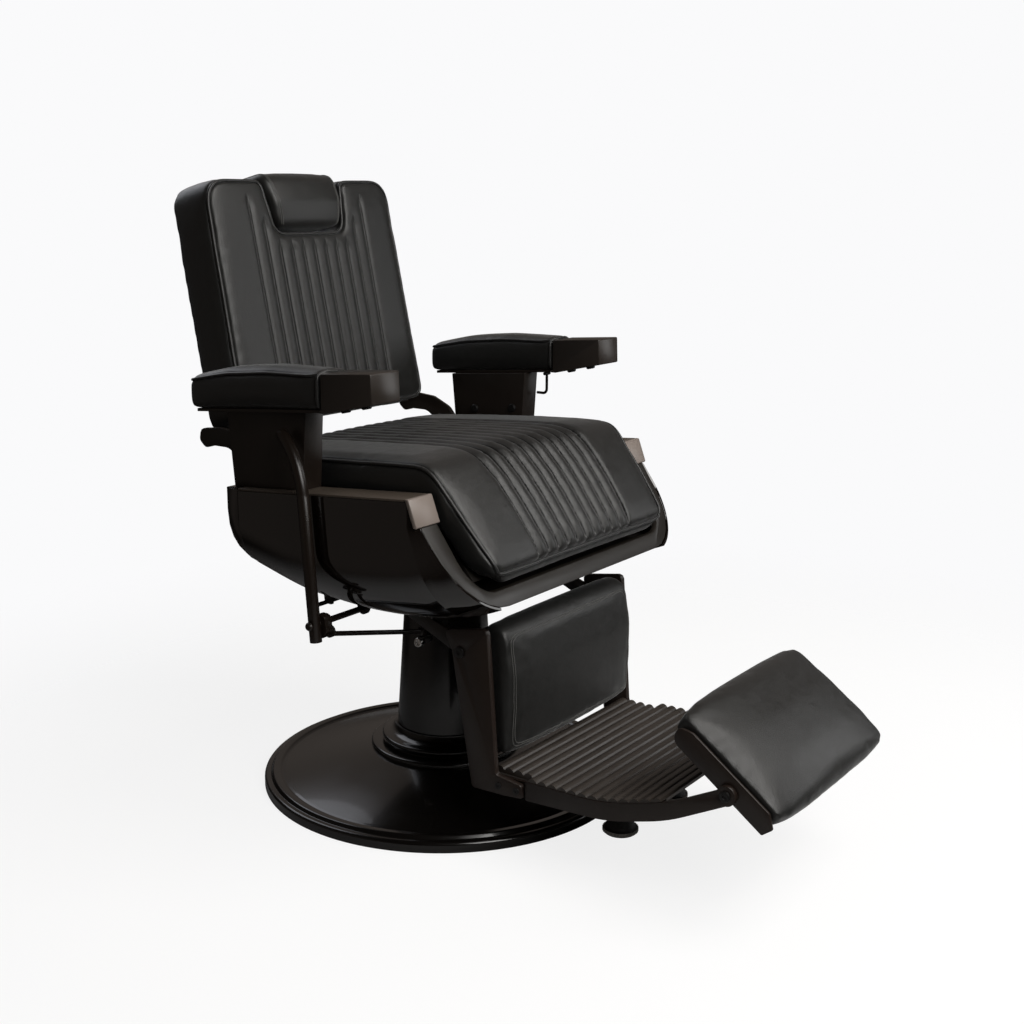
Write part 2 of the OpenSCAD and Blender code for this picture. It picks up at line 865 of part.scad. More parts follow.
leg_half = leg_w / 2;
leg_arm_t = 8;
leg_arm_out = leg_half - leg_t - 4;     // outer face of the fixed arms
module leg_arms() {
    color([0.17, 0.155, 0.15])
        both_sides()
            difference() {
                union() {
                    along_x(leg_arm_out - leg_arm_t, leg_arm_out)
                        polygon([
                            [leg_pivot.x + 2, leg_pivot.y - 15],
                            [-30, pan_z - 44],
                            [20, pan_z],
                            [-96, pan_z],
                            [-120, pan_z - 58],
                            [leg_pivot.x + 2, leg_pivot.y + 15]]);
                    bar_x(leg_arm_out - leg_arm_t, leg_arm_out, leg_pivot.x, leg_pivot.y, 30);
                    bar_x(leg_arm_out, leg_half - leg_t - hinge_gap, leg_pivot.x, leg_pivot.y, 24);
                }
                bar_x(0, leg_half, leg_pivot.x, leg_pivot.y, leg_pin_d + 2 * run_fit);
            }
}

// Bearing plates that hang from the pan and carry the cross shaft, and a thin stay behind them
bearing_x = [half_w - 95, 150];
stay_y = 62;
stay_z = pan_z - 52;
stay_d = 7;
module shaft_hangers() {
    color([0.16, 0.15, 0.145]) {
        for (x = bearing_x)
            difference() {
                union() {
                    along_x(-x, -x + 8)
                        polygon([
                            [lever_pivot.x - 26, pan_z],
                            [lever_pivot.x - 10, lever_pivot.y],
                            [lever_pivot.x + 10, lever_pivot.y],
                            [lever_pivot.x + 26, pan_z]]);
                    bar_x(-x, -x + 8, lever_pivot.x, lever_pivot.y, 20);
                }
                bar_x(-x - 1, -x + 9, lever_pivot.x, lever_pivot.y, shaft_d + 2 * run_fit);
            }
        bar_x(-half_w + 63, -head_plate_w / 2 - 6, stay_y, stay_z, stay_d);
        for (x = [-turn_in + 10, -head_plate_w / 2 - 12])
            along_x(x, x + 6)
                polygon([
                    [stay_y - 14, pan_z],
                    [stay_y - 7, stay_z - 4],
                    [stay_y + 7, stay_z - 4],
                    [stay_y + 14, pan_z]]);
    }
}

// Plates inside the rails that carry the back's hinge pins
hinge_t = 6;
hinge_in = back_arm_x + hinge_gap;
module back_hinges() {
    x0 = hinge_in;
    x1 = hinge_in + hinge_t;
    color([0.17, 0.155, 0.15])
        both_sides()
            difference() {
                union() {
                    along_x(x0, x1)
                        polygon([
                            [96, pan_z + 70],
                            [150, pan_z + 70],
                            [back_pivot.x + 17, back_pivot.y],
                            [back_pivot.x - 17, back_pivot.y],
                            [96, pan_z + 118]]);
                    bar_x(x0, x1, back_pivot.x, back_pivot.y, 36);
                    // pad that meets the side frame
                    along_x(x1 - 0.1, web_x)
                        polygon([
                            [100, pan_z + 76],
                            [146, pan_z + 76],
                            [146, pan_z + 112],
                            [100, pan_z + 112]]);
                }
                bar_x(0, half_w, back_pivot.x, back_pivot.y, back_pin_d + 2 * run_fit);
            }
}

// -------------------------------- back

// Everything of the back is drawn lying: x across, y up the slope, z forward, then leaned
back_foot = [233.5, pan_z + 216];         // lower front edge of the back
module leaned() {
    translate([0, back_foot.x, back_foot.y])
        rotate([90 - back_lean, 0, 0])
            children();
}

function back_half(v) = (back_low_w + (back_top_w - back_low_w) * v / back_l) / 2;
notch_r = 20;                           // rounding in the bottom of the notch
lobe_r = 14;                            // rounding at its upper ends
notch_foot_w = notch_w - 28;            // the notch is narrower at its bottom
notch_low = back_l - notch_h;
// Height of the back's top edge and of its foot at x
function top_edge(x) =
    let (
        a = abs(x),
        r = 40,
        half = back_top_w / 2,
        t = clamp((a - (half - r)) / r, 0, 1),
        lobe = back_l - r * (1 - sqrt(1 - t * t)),
        n0 = notch_foot_w / 2,
        n1 = notch_w / 2)
    a <= n0 - notch_r ? notch_low :
    a <= n0 ? notch_low + notch_r - sqrt(pow(notch_r, 2) - pow(a - n0 + notch_r, 2)) :
    a <= n1 ? notch_low + notch_r + (notch_h - notch_r - lobe_r) * (a - n0) / (n1 - n0) :
    a <= n1 + lobe_r ? back_l - lobe_r + sqrt(pow(lobe_r, 2) - pow(n1 + lobe_r - a, 2)) :
    lobe;
function low_edge(x) =
    let (
        r = 26,
        half = back_low_w / 2,
        t = clamp((abs(x) - (half - r)) / r, 0, 1))
    r * (1 - sqrt(1 - t * t));

function back_stations(half) =
    let (
        edge = [for (a = [90, 60, 35, 12]) half - 26 + 26 * sin(a)],
        outer = [each edge, half - 34, 5 * channel_pitch + 10],
        n0 = notch_foot_w / 2,
        n1 = notch_w / 2,
        marks = [n0 - notch_r, n0 - notch_r / 3, n0, n1, n1 + lobe_r / 4, n1 + lobe_r],
        grooves = [for (i = [0:15])
            let (x = i * channel_pitch / 3)
            if (min([for (m = marks) abs(m - x)]) > 2) x],
        right = sorted([each marks, each grooves, each outer]))
    [
        for (i = [len(right) - 1:-1:1]) -right[i],
        each right];
function sorted(list) =
    len(list) == 0 ? [] :
    let (
        pivot = list[0],
        less = [for (v = list) if (v < pivot) v],
        more = [for (v = list) if (v > pivot) v])
    [each sorted(less), pivot, each sorted(more)];

// One ring of the back cushion at x, from the top down the front and up behind
function back_ring(x, groove) =
    let (
        low = low_edge(x),
        top = top_edge(x),
        t = back_soft_t,
        crown = 6 * (1 - pow(x / (back_low_w / 2), 2)),
        f = t + crown - groove,
        e = 9)
    [
        [top - 1, 0],
        [top, t * 0.45],
        [top - 3, t - 9],
        [top - e, f - 4],
        [top - 26, f - 1],
        [low + (top - low) * 0.66, f + 2],
        [low + (top - low) * 0.33, f + 2],
        [low + 30, f],
        [low + e, f - 2],
        [low + 3, t - 7],
        [low, t * 0.45],
        [low + 1, 0]];

module back_cushion() {
    half = back_low_w / 2;
    color([0.06, 0.06, 0.06])
        leaned()
            translate([0, 0, -back_soft_t])
                stuffed([for (x = back_stations(half))
                    [for (p = back_ring(x, channel(x)))
                        let (share = back_half(p.x) / half)
                        [x * share, p.x, p.y + touch]]]);
}

// Flat outline of the board behind the cushion, smaller by inset
module back_outline(inset) {
    low = back_low_w / 2 - inset;
    top = back_top_w / 2 - inset;
    n0 = notch_foot_w / 2 + inset;
    n1 = notch_w / 2 + inset;
    polygon(outline([
        [-low, inset, 24],
        [low, inset, 24],
        [top, back_l - inset, 38],
        [n1, back_l - inset, lobe_r],
        [n0, notch_low - inset, notch_r],
        [-n0, notch_low - inset, notch_r],
        [-n1, back_l - inset, lobe_r],
        [-top, back_l - inset, 38]], 5));
}

guide_w = 46;
guide_t = 12;
bar_w = 30;
bar_t = 6;
bar_l = headrest_travel + 60;
module back_core() {
    color([0.12, 0.12, 0.12])
        leaned()
            translate([0, 0, -back_soft_t - core_t])
                difference() {
                    linear_extrude(core_t) back_outline(1);
                    translate([-guide_w / 2 - 0.2, notch_low - bar_l - 12, core_t / 2 - guide_t / 2 - 0.2])
                        cube([guide_w + 0.4, bar_l + 40, guide_t + 0.4]);
                }
}

skin_t = 10;
module back_skin() {
    color([0.07, 0.07, 0.07])
        leaned()
            translate([0, 0, -back_soft_t - core_t - skin_t]) {
                translate([0, 0, 4])
                    linear_extrude(skin_t - 4) back_outline(1);
                linear_extrude(4) back_outline(6);
            }
}

// Steel sleeve inside the core that the headrest bar slides in
module headrest_guide() {
    h = bar_l - 2;
    color("dimgray")
        leaned()
            translate([0, notch_low - bar_l - 12, -back_soft_t - core_t / 2])
                difference() {
                    translate([-guide_w / 2, 0, -guide_t / 2])
                        cube([guide_w, h, guide_t]);
                    translate([-bar_w / 2 - 0.2, -1, -bar_t / 2 - 0.2])
                        cube([bar_w + 0.4, h + 2, bar_t + 0.4]);
                }
}

// Curved flat arms that join the core board to the hinge plates
module back_arms() {
    x0 = back_arm_x - back_arm_t;
    p = back_pivot;
    color([0.15, 0.14, 0.135])
        both_sides()
            difference() {
                union() {
                    along_x(x0, back_arm_x)
                        union() {
                            polygon(outline([
                                [p.x - 15, p.y - 2, 0],
                                [p.x + 15, p.y - 6, 0],
                                [p.x + 30, p.y + 18, 20],
                                [p.x + 56, p.y + 36, 26],
                                [p.x + 90, p.y + 36, 20],
                                [p.x + 112, p.y + 30, 10],
                                [p.x + 126, p.y + 42, 8],
                                [p.x + 122, p.y + 62, 10],
                                [p.x + 78, p.y + 67, 40],
                                [p.x + 42, p.y + 64, 26],
                                [p.x + 4, p.y + 47, 26],
                                [p.x - 12, p.y + 28, 16]], 5));
                            translate(p) circle(d = 32);
                        }
                    // foot under the edge of the core board
                    leaned()
                        translate([back_low_w / 2 - 34, -4.3, -back_soft_t - core_t + 2])
                            cube([x0 + 1 - back_low_w / 2 + 34, 5, core_t - 4]);
                }
                bar_x(x0 - 1, back_arm_x + 1, p.x, p.y, back_pin_d + 0.02);
            }
}

// Hinge pins, tight in the arms and free in the hinge plates
module back_pins() {
    x0 = back_arm_x - back_arm_t - pin_head_t - 0.3;
    l = hinge_in + hinge_t - x0;
    r = back_pin_d / 2;
    color("silver")
        both_sides()
            translate([x0, back_pivot.x, back_pivot.y])
                rotate([0, 90, 0])
                    rotate_extrude()
                        polygon([[0, 0], [r + 3, 0], [r + 3, pin_head_t], [r, pin_head_t], [r, l], [0, l]]);
}

// -------------------------------- headrest

head_h = notch_h + 14;
head_gap = 5;                           // under the pad
head_side_gap = 1.5;                    // between the pad's sides and the notch
module headrest_pad() {
    taper = back_top_w / back_low_w;    // the notch narrows with the back
    half = notch_w / 2 * taper - head_side_gap;
    foot_half = notch_foot_w / 2 * taper - head_side_gap;
    behind = -back_soft_t - core_t - skin_t + 4;
    front = 8;
    r = 16;
    section = outline([
        [head_h - 2, behind - 12, 24],
        [head_h, front - 12, 26],
        [head_h * 0.5, front + 3, 0],
        [head_gap, front - 4, 16],
        [head_gap, behind + 14, 14],
        [head_h * 0.45, behind - 12, 14]], 4);
    xs = [
        for (a = [90, 65, 40, 18]) -half + r - r * sin(a),
        -half * 0.5, 0, half * 0.5,
        for (a = [18, 40, 65, 90]) half - r + r * sin(a)];
    color([0.06, 0.06, 0.06])
        leaned()
            translate([0, notch_low, 0])
                stuffed([for (x = xs)
                    let (
                        pinch = edge_round(x, half, r) * 0.8 - 2 * (1 - pow(x / half, 2)),
                        ring = drawn_in(section, [for (p = section) pinch]))
                    [for (p = ring)
                        let (
                            share = (foot_half + (half - foot_half) * clamp(p.x / notch_h, 0, 1)) / half,
                            floor_v = top_edge(min(abs(x * share) + 4, notch_foot_w / 2)) - notch_low + head_gap)
                        [x * share, max(p.x, floor_v), p.y]]]);
}

module headrest_bar() {
    color("silver")
        leaned()
            translate([0, notch_low - bar_l, -back_soft_t - core_t / 2])
                difference() {
                    translate([-bar_w / 2, 0, -bar_t / 2])
                        cube([bar_w, bar_l + 0.6, bar_t]);
                    for (k = [0:3])
                        translate([bar_w / 2 - 3, 20 + k * 14, -bar_t])
                            cube([4, 5, 2 * bar_t]);
                }
}

// -------------------------------- leg rest

leg_low = leg_pivot.y - leg_drop;       // where the lug meets the tread rail
lug_front = leg_pivot.x - 126;
module leg_plate(side) {
    color([0.17, 0.155, 0.15])
        on_side(side)
            difference() {
                along_x(leg_half - leg_t, leg_half)
                    polygon(outline([
                        [leg_pivot.x + 34, leg_pivot.y + 32, 10],
                        [leg_pivot.x - 52, leg_pivot.y + 46, 8],
                        [leg_pivot.x - 70, leg_low + 4, 6],
                        [lug_front + 8, leg_low - 2, 6],
                        [lug_front, leg_low - 22, 6],
                        [lug_front + 40, leg_low - 26, 6],
                        [leg_pivot.x - 24, leg_low - 28, 6],
                        [leg_pivot.x + 16, leg_pivot.y + 4, 20]], 4));
                bar_x(0, leg_half + 1, leg_pivot.x, leg_pivot.y, leg_pin_d + 0.02);
            }
}

module leg_bolts() {
    color([0.12, 0.12, 0.12])
        both_sides() {
            bar_x(leg_arm_out - leg_arm_t - 3, leg_half, leg_pivot.x, leg_pivot.y, leg_pin_d);
            socket_head(leg_half, leg_pivot, 18, 2.5);
            for (y = [lug_front + 16, lug_front + 50])
                socket_head(leg_half, [y, leg_low - 12], 11, 1.5);
        }
}

// Head of a socket screw, seen from the side, on the face at x
module socket_head(x, place, d, h) {
    translate([x, place.x, place.y])
        rotate([0, 90, 0])
            difference() {
                cylinder(h = h, d = d);
                translate([0, 0, h * 0.4])
                    cylinder(h = h, d = d * 0.45, $fn = 6);
            }
}

// Steel panel between the plates that carries the calf cushion
panel_t = 5;
panel_y = leg_pivot.x - 24;
module leg_panel() {
    wide = leg_half - leg_t;
    narrow = leg_arm_out - leg_arm_t - 5;
    color([0.16, 0.15, 0.145])
        translate([0, panel_y, 0])
            along_y(0, panel_t)
                polygon([
                    [-wide, leg_low + 12],
                    [wide, leg_low + 12],
                    [wide, leg_pivot.y - 60],
                    [narrow, leg_pivot.y - 40],
                    [narrow, leg_pivot.y + 34],
                    [-narrow, leg_pivot.y + 34],
                    [-narrow, leg_pivot.y - 40],
                    [-wide, leg_pivot.y - 60]]);
}

calf_half = leg_arm_out - leg_arm_t - 2;
module calf_cushion() {
    r = 10;
    low = leg_low + 26;
    top = leg_pivot.y + 50;
    back = panel_y - touch;
    front = back - calf_t;
    section = outline([
        [back, low + 6, 14],
        [back, top - 4, 14],
        [front + 12, top, 26],
        [front - 1, (low + top) / 2 + 30, 0],
        [front - 2, (low + top) / 2 - 30, 0],
        [front + 2, low, 14]], 4);
    xs = [
        for (a = [90, 60, 30]) -calf_half + r - r * sin(a),
        -calf_half * 0.7, -calf_half * 0.35, 0, calf_half * 0.35, calf_half * 0.7,
        for (a = [30, 60, 90]) calf_half - r + r * sin(a)];
    color([0.06, 0.06, 0.06])
        stuffed([for (x = xs)
            let (
                bulge = 6 * (1 - pow(x / calf_half, 2)),
                ring = drawn_in(section, [for (p = section)
                    edge_round(x, calf_half, r) - (p.x < back - 10 ? bulge : 0)]))
            [for (p = ring) [x, p.x, p.y]]]);
}

// -------------------------------- tread

rail_h = 31;
tread_z = leg_low + 8;                  // top edge of the rails where they leave the lugs
foot_pivot = [leg_pivot.x - 464, leg_pivot.y - 115];
rail_top = [
    [lug_front - 1, tread_z],
    [lug_front - 137, tread_z + 2],
    [lug_front - 247, tread_z + 32],
    [foot_pivot.x - 6, foot_pivot.y + 15]];
rail_low = [
    [lug_front - 1, tread_z - rail_h],
    [lug_front - 147, tread_z - rail_h + 6],
    [lug_front - 247, tread_z - rail_h + 35],
    [foot_pivot.x - 14, foot_pivot.y - 8]];

module tread_rail(side) {
    color([0.19, 0.175, 0.165])
        on_side(side)
            difference() {
                union() {
                    along_x(leg_half - tread_rail_t, leg_half)
                        polygon(outline([
                            [rail_top[0].x, rail_top[0].y, 2],
                            [rail_top[1].x, rail_top[1].y, 300],
                            [rail_top[2].x, rail_top[2].y, 300],
                            [rail_top[3].x, rail_top[3].y, 8],
                            [rail_low[3].x, rail_low[3].y, 8],
                            [rail_low[2].x, rail_low[2].y, 300],
                            [rail_low[1].x, rail_low[1].y, 300],
                            [rail_low[0].x, rail_low[0].y, 2]], 5));
                    bar_x(leg_half - tread_rail_t, leg_half, foot_pivot.x, foot_pivot.y, 30);
                    // inner flange that is bolted to the lug
                    along_x(leg_half - leg_t - 6, leg_half - leg_t - touch)
                        polygon([
                            [lug_front - 30, tread_z - 5],
                            [lug_front + 66, tread_z - 8],
                            [lug_front + 66, tread_z - rail_h + 3],
                            [lug_front - 30, tread_z - rail_h + 5]]);
                    along_x(leg_half - leg_t - 6, leg_half - tread_rail_t + 1)
                        polygon([
                            [lug_front - 30, tread_z - 5],
                            [lug_front - 2, tread_z - 5],
                            [lug_front - 2, tread_z - rail_h + 5],
                            [lug_front - 30, tread_z - rail_h + 5]]);
                }
                bar_x(leg_half - tread_rail_t - 1, leg_half + 1, foot_pivot.x, foot_pivot.y, foot_pin_d + 0.02);
            }
}

// Height of the rail's top edge at y: three straight runs with eased joints
function ease(d, r) = abs(d) < r ? pow(r - abs(d), 2) / (4 * r) : 0;
function rail_top_z(y) =
    let (
        a = rail_top[0],
        b = rail_top[1],
        c = rail_top[2],
        d = rail_top[3],
        flat = y > b.x ? line_z(a, b, y) : y > c.x ? line_z(b, c, y) : line_z(c, d, y))
    flat + ease(y - b.x, 40) * 0.27 + ease(y - c.x, 40) * 0.27;

// Ribbed tread plate: ribs run across, and the plate bends up with the rails
tread_rear = leg_pivot.x - 58;
tread_front = tread_rear - 305;
tread_t = 5;
module foot_tread() {
    count = floor((tread_rear - tread_front) / rib_pitch);
    steps = 6;
    pitch = (tread_rear - tread_front) / count;
    half = leg_half - leg_t - 6.2;
    function wave(k) = rib_h * pow(sin(180 * (k % steps) / steps), 0.7);
    ribs = [for (k = [0:count * steps])
        let (y = tread_rear - k * pitch / steps)
        [y, rail_top_z(min(y, rail_top[0].x)) + wave(k)]];
    under = [for (k = [24:-1:0])
        let (y = tread_rear - k * (tread_rear - tread_front) / 24)
        [y, rail_top_z(min(y, rail_top[0].x)) - tread_t]];
    color([0.3, 0.27, 0.25]) {
        along_x(-half, half) polygon([each ribs, each under]);
        // the ribs run on over the rails
        both_sides()
            along_x(half, leg_half - 1)
                polygon([
                    for (k = [0:count * steps])
                        let (y = tread_rear - k * pitch / steps)
                        if (y < rail_top[0].x - 4)
                            [y, rail_top_z(y) + max(wave(k), 0.6) + 0.4],
                    for (k = [24:-1:0])
                        let (y = rail_top[0].x - 4 - k * (rail_top[0].x - 4 - tread_front) / 24)
                        [y, rail_top_z(y) + 0.35]]);
    }
}

// Rubber feet that stop the tread from tipping to the floor
stop_x = 80;
stop_y = leg_pivot.x - 225;
module stop_feet() {
    top = rail_top_z(stop_y) - tread_t - 0.9;
    low = 33;
    color([0.08, 0.08, 0.08])
        both_sides()
            translate([stop_x, stop_y, 0])
                rotate_extrude()
                    polygon([
                        [0, low],
                        [25, low],
                        [27.5, low + 3],
                        [27.5, low + 8],
                        [24, low + 11],
                        [15, low + 28],
                        [13, low + 36],
                        [13, top - 6],
                        [18, top - 4],
                        [18, top],
                        [0, top]]);
}

// -------------------------------- foot pad

foot_tilt = 36;
foot_rear = foot_l * 0.62;              // reach of the pad behind and in front of its pivot
foot_front = foot_l - foot_rear;
frame_half = leg_half - tread_rail_t - hinge_gap;
frame_side_t = 5;
frame_low = -7;
frame_high = 27;
// Drawn with y along the pad and z square to it, then tilted about the pivot
module at_foot() {
    translate([0, foot_pivot.x, foot_pivot.y])
        rotate([foot_tilt, 0, 0])
            children();
}

module foot_frame() {
    color([0.19, 0.175, 0.165])
        at_foot()
            difference() {
                union() {
                    both_sides()
                        along_x(frame_half - frame_side_t, frame_half)
                            union() {
                                polygon(outline([
                                    [foot_rear - 4, frame_low, 6],
                                    [foot_rear, frame_high - 8, 10],
                                    [foot_rear - 26, frame_high, 6],
                                    [-foot_front - 2, frame_high, 3],
                                    [-foot_front + 8, frame_low, 3]], 3));
                                circle(d = 26);
                            }
                    along_x(-frame_half + frame_side_t, frame_half - frame_side_t)
                        polygon([
                            [foot_rear - 6, frame_low],
                            [foot_rear - 6, frame_low + 4],
                            [-foot_front + 8, frame_low + 4],
                            [-foot_front + 8, frame_low]]);
                }
                bar_x(-leg_half, leg_half, 0, 0, foot_pin_d + 2 * run_fit);
            }
}

foot_half = frame_half - frame_side_t - 1.5;
module foot_cushion() {
    low = frame_low + 4 + touch;
    high = low + foot_t;
    edge = frame_high - low;            // height of its sides
    mid = (foot_rear - foot_front) / 2;
    section = outline([
        [foot_rear + 2, low + 4, 8],
        [foot_rear + 3, low + edge, 0],
        [foot_rear + 4, high - 12, 24],
        [foot_rear * 0.3, high, 0],
        [-foot_front * 0.3, high, 0],
        [-foot_front - 5, high - 12, 22],
        [-foot_front - 4, low + edge, 0],
        [-foot_front - 3, low + 6, 8],
        [-foot_front + 14, low, 0],
        [foot_rear - 10, low, 0]], 4);
    xs = [for (t = [1, 0.985, 0.95, 0.88, 0.75, 0.5, 0.2, -0.2, -0.5, -0.75, -0.88, -0.95, -0.985, -1])
        -t * foot_half];
    color([0.06, 0.06, 0.06])
        at_foot()
            stuffed([for (x = xs)
                let (
                    t = abs(x) / foot_half,
                    swell = pow(1.0001 - pow(t, 2.6), 0.6),
                    ends = 1 - 0.1 * pow(t, 6))
                [for (p = section)
                    [
                        x,
                        mid + (p.x - mid) * ends,
                        p.y > low + edge ? low + edge + (p.y - low - edge) * swell : p.y]]]);
}

module foot_pivot_bolts() {
    color([0.1, 0.1, 0.1])
        both_sides() {
            bar_x(frame_half - frame_side_t - 1, leg_half, foot_pivot.x, foot_pivot.y, foot_pin_d);
            socket_head(leg_half, foot_pivot, 16, 3);
        }
}

// -------------------------------- lever and its linkage

lever_x = half_w + lever_d / 2 + 5.5;   // centre of the lever tube
lever_lean = 5;
lever_turn = 55;                        // how far the upper part bends to the rear
lever_bend_r = 115;
lever_yaw = 17;                         // the bent part also turns in towards the arm
lever_foot = 27;                        // tube left below the pivot
module side_lever() {
    d = lever_d;
    color([0.2, 0.185, 0.175])
        difference() {
            translate([-lever_x, lever_pivot.x, lever_pivot.y])
                rotate([-lever_lean, 0, 0]) {
                    translate([0, 0, -lever_foot])
                        cylinder(h = lever_l + lever_foot, d = d);
                    // the bent part starts just inside the straight tube
                    translate([0, 0, lever_l - 1])
                        rotate([0, 0, -lever_yaw]) {
                            translate([0, lever_bend_r, 0])
                                rotate([0, 0, 90])
                                    rotate([90, 0, 0])
                                        rotate_extrude(angle = -lever_turn, start = 180)
                                            translate([lever_bend_r, 0]) circle(d = d - 0.1, $fn = 32);
                            translate([0, lever_bend_r, 0])
                                rotate([-lever_turn, 0, 0])
                                    translate([0, -lever_bend_r, -2])
                                        cylinder(h = 4, d1 = d - 1, d2 = d - 4);
                        }
                }
            bar_x(-lever_x - d, -lever_x + d, lever_pivot.x, lever_pivot.y, shaft_d + 0.02);
        }
}

// Cross shaft with the knuckle that the lever is bolted to, and its crank pin
knuckle_out = -lever_x + lever_d / 2 + 0.3;
knuckle_w = 15;
crank_pin = [lever_pivot.x - 3, lever_pivot.y - 17];
pin_d = 6;
module lever_shaft() {
    color([0.13, 0.12, 0.12]) {
        bar_x(-lever_x - lever_d / 2 - 1, -bearing_x[1] + 14, lever_pivot.x, lever_pivot.y, shaft_d);
        // bolt head outside the lever
        translate([-lever_x - lever_d / 2 - 1, lever_pivot.x, lever_pivot.y])
            rotate([0, -90, 0])
                bolt_head(7, 5);
        along_x(knuckle_out, knuckle_out + knuckle_w)
            polygon(outline([
                [lever_pivot.x - 12, lever_pivot.y + 14, 8],
                [lever_pivot.x - 15, lever_pivot.y - 12, 4],
                [crank_pin.x - 4, crank_pin.y - 6, 3],
                [crank_pin.x + 8, crank_pin.y - 6, 3],
                [lever_pivot.x + 13, lever_pivot.y - 2, 6],
                [lever_pivot.x + 10, lever_pivot.y + 14, 8]], 4));
        bar_x(knuckle_out + knuckle_w - 1, knuckle_out + knuckle_w + 8, crank_pin.x, crank_pin.y, pin_d);
    }
}

// Pivot on the skirt that the inner end of the rod turns on
post_z = pan_z - 124;
post = [-skirt_r(post_z) - 15, -19];
post_d = 6;
module rod_post() {
    color([0.13, 0.12, 0.12]) {
        difference() {
            hull() {
                translate([post.x, post.y, post_z - 12])
                    cylinder(h = 5, d = 16, $fn = 32);
                translate([post.x + 26, post.y - 10, post_z - 12])
                    cube([1, 20, 5]);
            }
            translate([0, 0, post_z - 20])
                cylinder(h = 30, r = skirt_r(post_z - 12) + 0.2);
        }
        translate([post.x, post.y, post_z - 8])
            cylinder(h = 18, d = post_d);
    }
}

// Rod from the knuckle to the column; both of its eyes have clearance on their pins
eye_d = 20;
eye_x = knuckle_out + knuckle_w + 5.5;
rod_start = [eye_x + 8, crank_pin.x, crank_pin.y - 6];
rod_end = [post.x, post.y, post_z];
module link_rod() {
    run = rod_end - rod_start;
    flat = norm([run.x, run.y]);
    color([0.12, 0.11, 0.11])
        difference() {
            union() {
                bar_x(eye_x - 3, eye_x + 3, crank_pin.x, crank_pin.y, eye_d);
                bar_x(eye_x + 2.8, rod_start.x + 1, rod_start.y, rod_start.z, rod_d);
                translate(rod_start) {
                    sphere(d = rod_d);
                    rotate([0, 0, atan2(run.y, run.x)])
                        rotate([0, 90 + atan2(-run.z, flat), 0])
                            cylinder(h = norm(run) - 5, d = rod_d);
                }
                translate([post.x, post.y, post_z - 5])
                    cylinder(h = 11, d = 15);
            }
            bar_x(eye_x - 4, eye_x + 2.8, crank_pin.x, crank_pin.y, pin_d + 5);
            translate([post.x, post.y, post_z - 20])
                cylinder(h = 40, d = post_d + 2 * run_fit);
        }
}

// Wire handle under the left arm
handle_x = arm_mid - 5;
handle_y = -3;
handle_l = 40;
handle_turn_r = 8;
module release_handle() {
    top = arm_under(handle_y) - arm_plate_t - 1;
    low = top - handle_l;
    d = wire_d;
    reach = upright_top_y[0] - 7;           // stops short of the upright when it is pulled
    color([0.15, 0.14, 0.14]) {
        translate([handle_x, handle_y, low + handle_turn_r])
            cylinder(h = top - low - handle_turn_r - 2, d = d, $fn = 24);
        translate([handle_x, handle_y + handle_turn_r, low + handle_turn_r])
            rotate([0, 0, 90])
                rotate([90, 0, 0])
                    rotate_extrude(angle = 90, start = 180, $fn = 48)
                        translate([handle_turn_r, 0]) circle(d = d, $fn = 24);
        translate([handle_x, handle_y + handle_turn_r, low])
            rotate([-90, 0, 0])
                cylinder(h = reach - handle_y - handle_turn_r, d = d, $fn = 24);
        bar_x(handle_x - 8, handle_x + 8, handle_y, top - 3, 6);
    }
}

// -------------------------------- the nodes

base_plate();
base_cover();
foot_collar();
pump_cylinder();
pump_bolts();
gland_ring();
ram();
ram_piston();
thrust_bearing();
seat_head();
column_skirt();
skirt_screw();
under_pan();
under_frame();
seat_board();
side_shell(1);  // side_shell_left
side_shell(-1);  // side_shell_right
side_frames();
front_frame();
end_cap(1);  // end_cap_left
end_cap(-1);  // end_cap_right
rear_panel();
seat_cushion();
upright(1);  // upright_left
upright(-1);  // upright_right
upright_bolts();
arm_plates();
arm_pad(1);  // arm_pad_left
arm_pad(-1);  // arm_pad_right
arm_block(1);  // arm_block_left
arm_block(-1);  // arm_block_right
arm_screws();
leg_arms();
shaft_hangers();
back_hinges();
rod_post();
back_cushion();
back_core();
back_skin();
back_arms();
back_pins();
headrest_guide();
headrest_pad();
headrest_bar();
leg_plate(1);  // leg_plate_left
leg_plate(-1);  // leg_plate_right
leg_bolts();
leg_panel();
calf_cushion();
tread_rail(1);  // tread_rail_left
tread_rail(-1);  // tread_rail_right
foot_tread();
stop_feet();
foot_frame();
foot_cushion();
foot_pivot_bolts();
side_lever();
lever_shaft();
link_rod();
release_handle();
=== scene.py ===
import math

import bmesh
import bpy
from mathutils import Matrix, Vector
from mathutils.bvhtree import BVHTree
from mathutils.kdtree import KDTree


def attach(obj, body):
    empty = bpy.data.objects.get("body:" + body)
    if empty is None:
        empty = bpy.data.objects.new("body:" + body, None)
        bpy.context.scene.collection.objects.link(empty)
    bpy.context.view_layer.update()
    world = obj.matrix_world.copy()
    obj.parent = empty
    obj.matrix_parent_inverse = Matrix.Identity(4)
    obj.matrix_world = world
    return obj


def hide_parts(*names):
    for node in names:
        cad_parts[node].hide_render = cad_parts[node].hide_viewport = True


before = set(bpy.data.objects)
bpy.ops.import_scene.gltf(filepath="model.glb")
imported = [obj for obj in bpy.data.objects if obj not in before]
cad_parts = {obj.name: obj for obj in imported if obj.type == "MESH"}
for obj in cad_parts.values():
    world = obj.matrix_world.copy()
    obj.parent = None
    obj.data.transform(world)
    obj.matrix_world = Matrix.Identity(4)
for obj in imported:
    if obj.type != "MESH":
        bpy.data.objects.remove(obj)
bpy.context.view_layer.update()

scene = bpy.context.scene


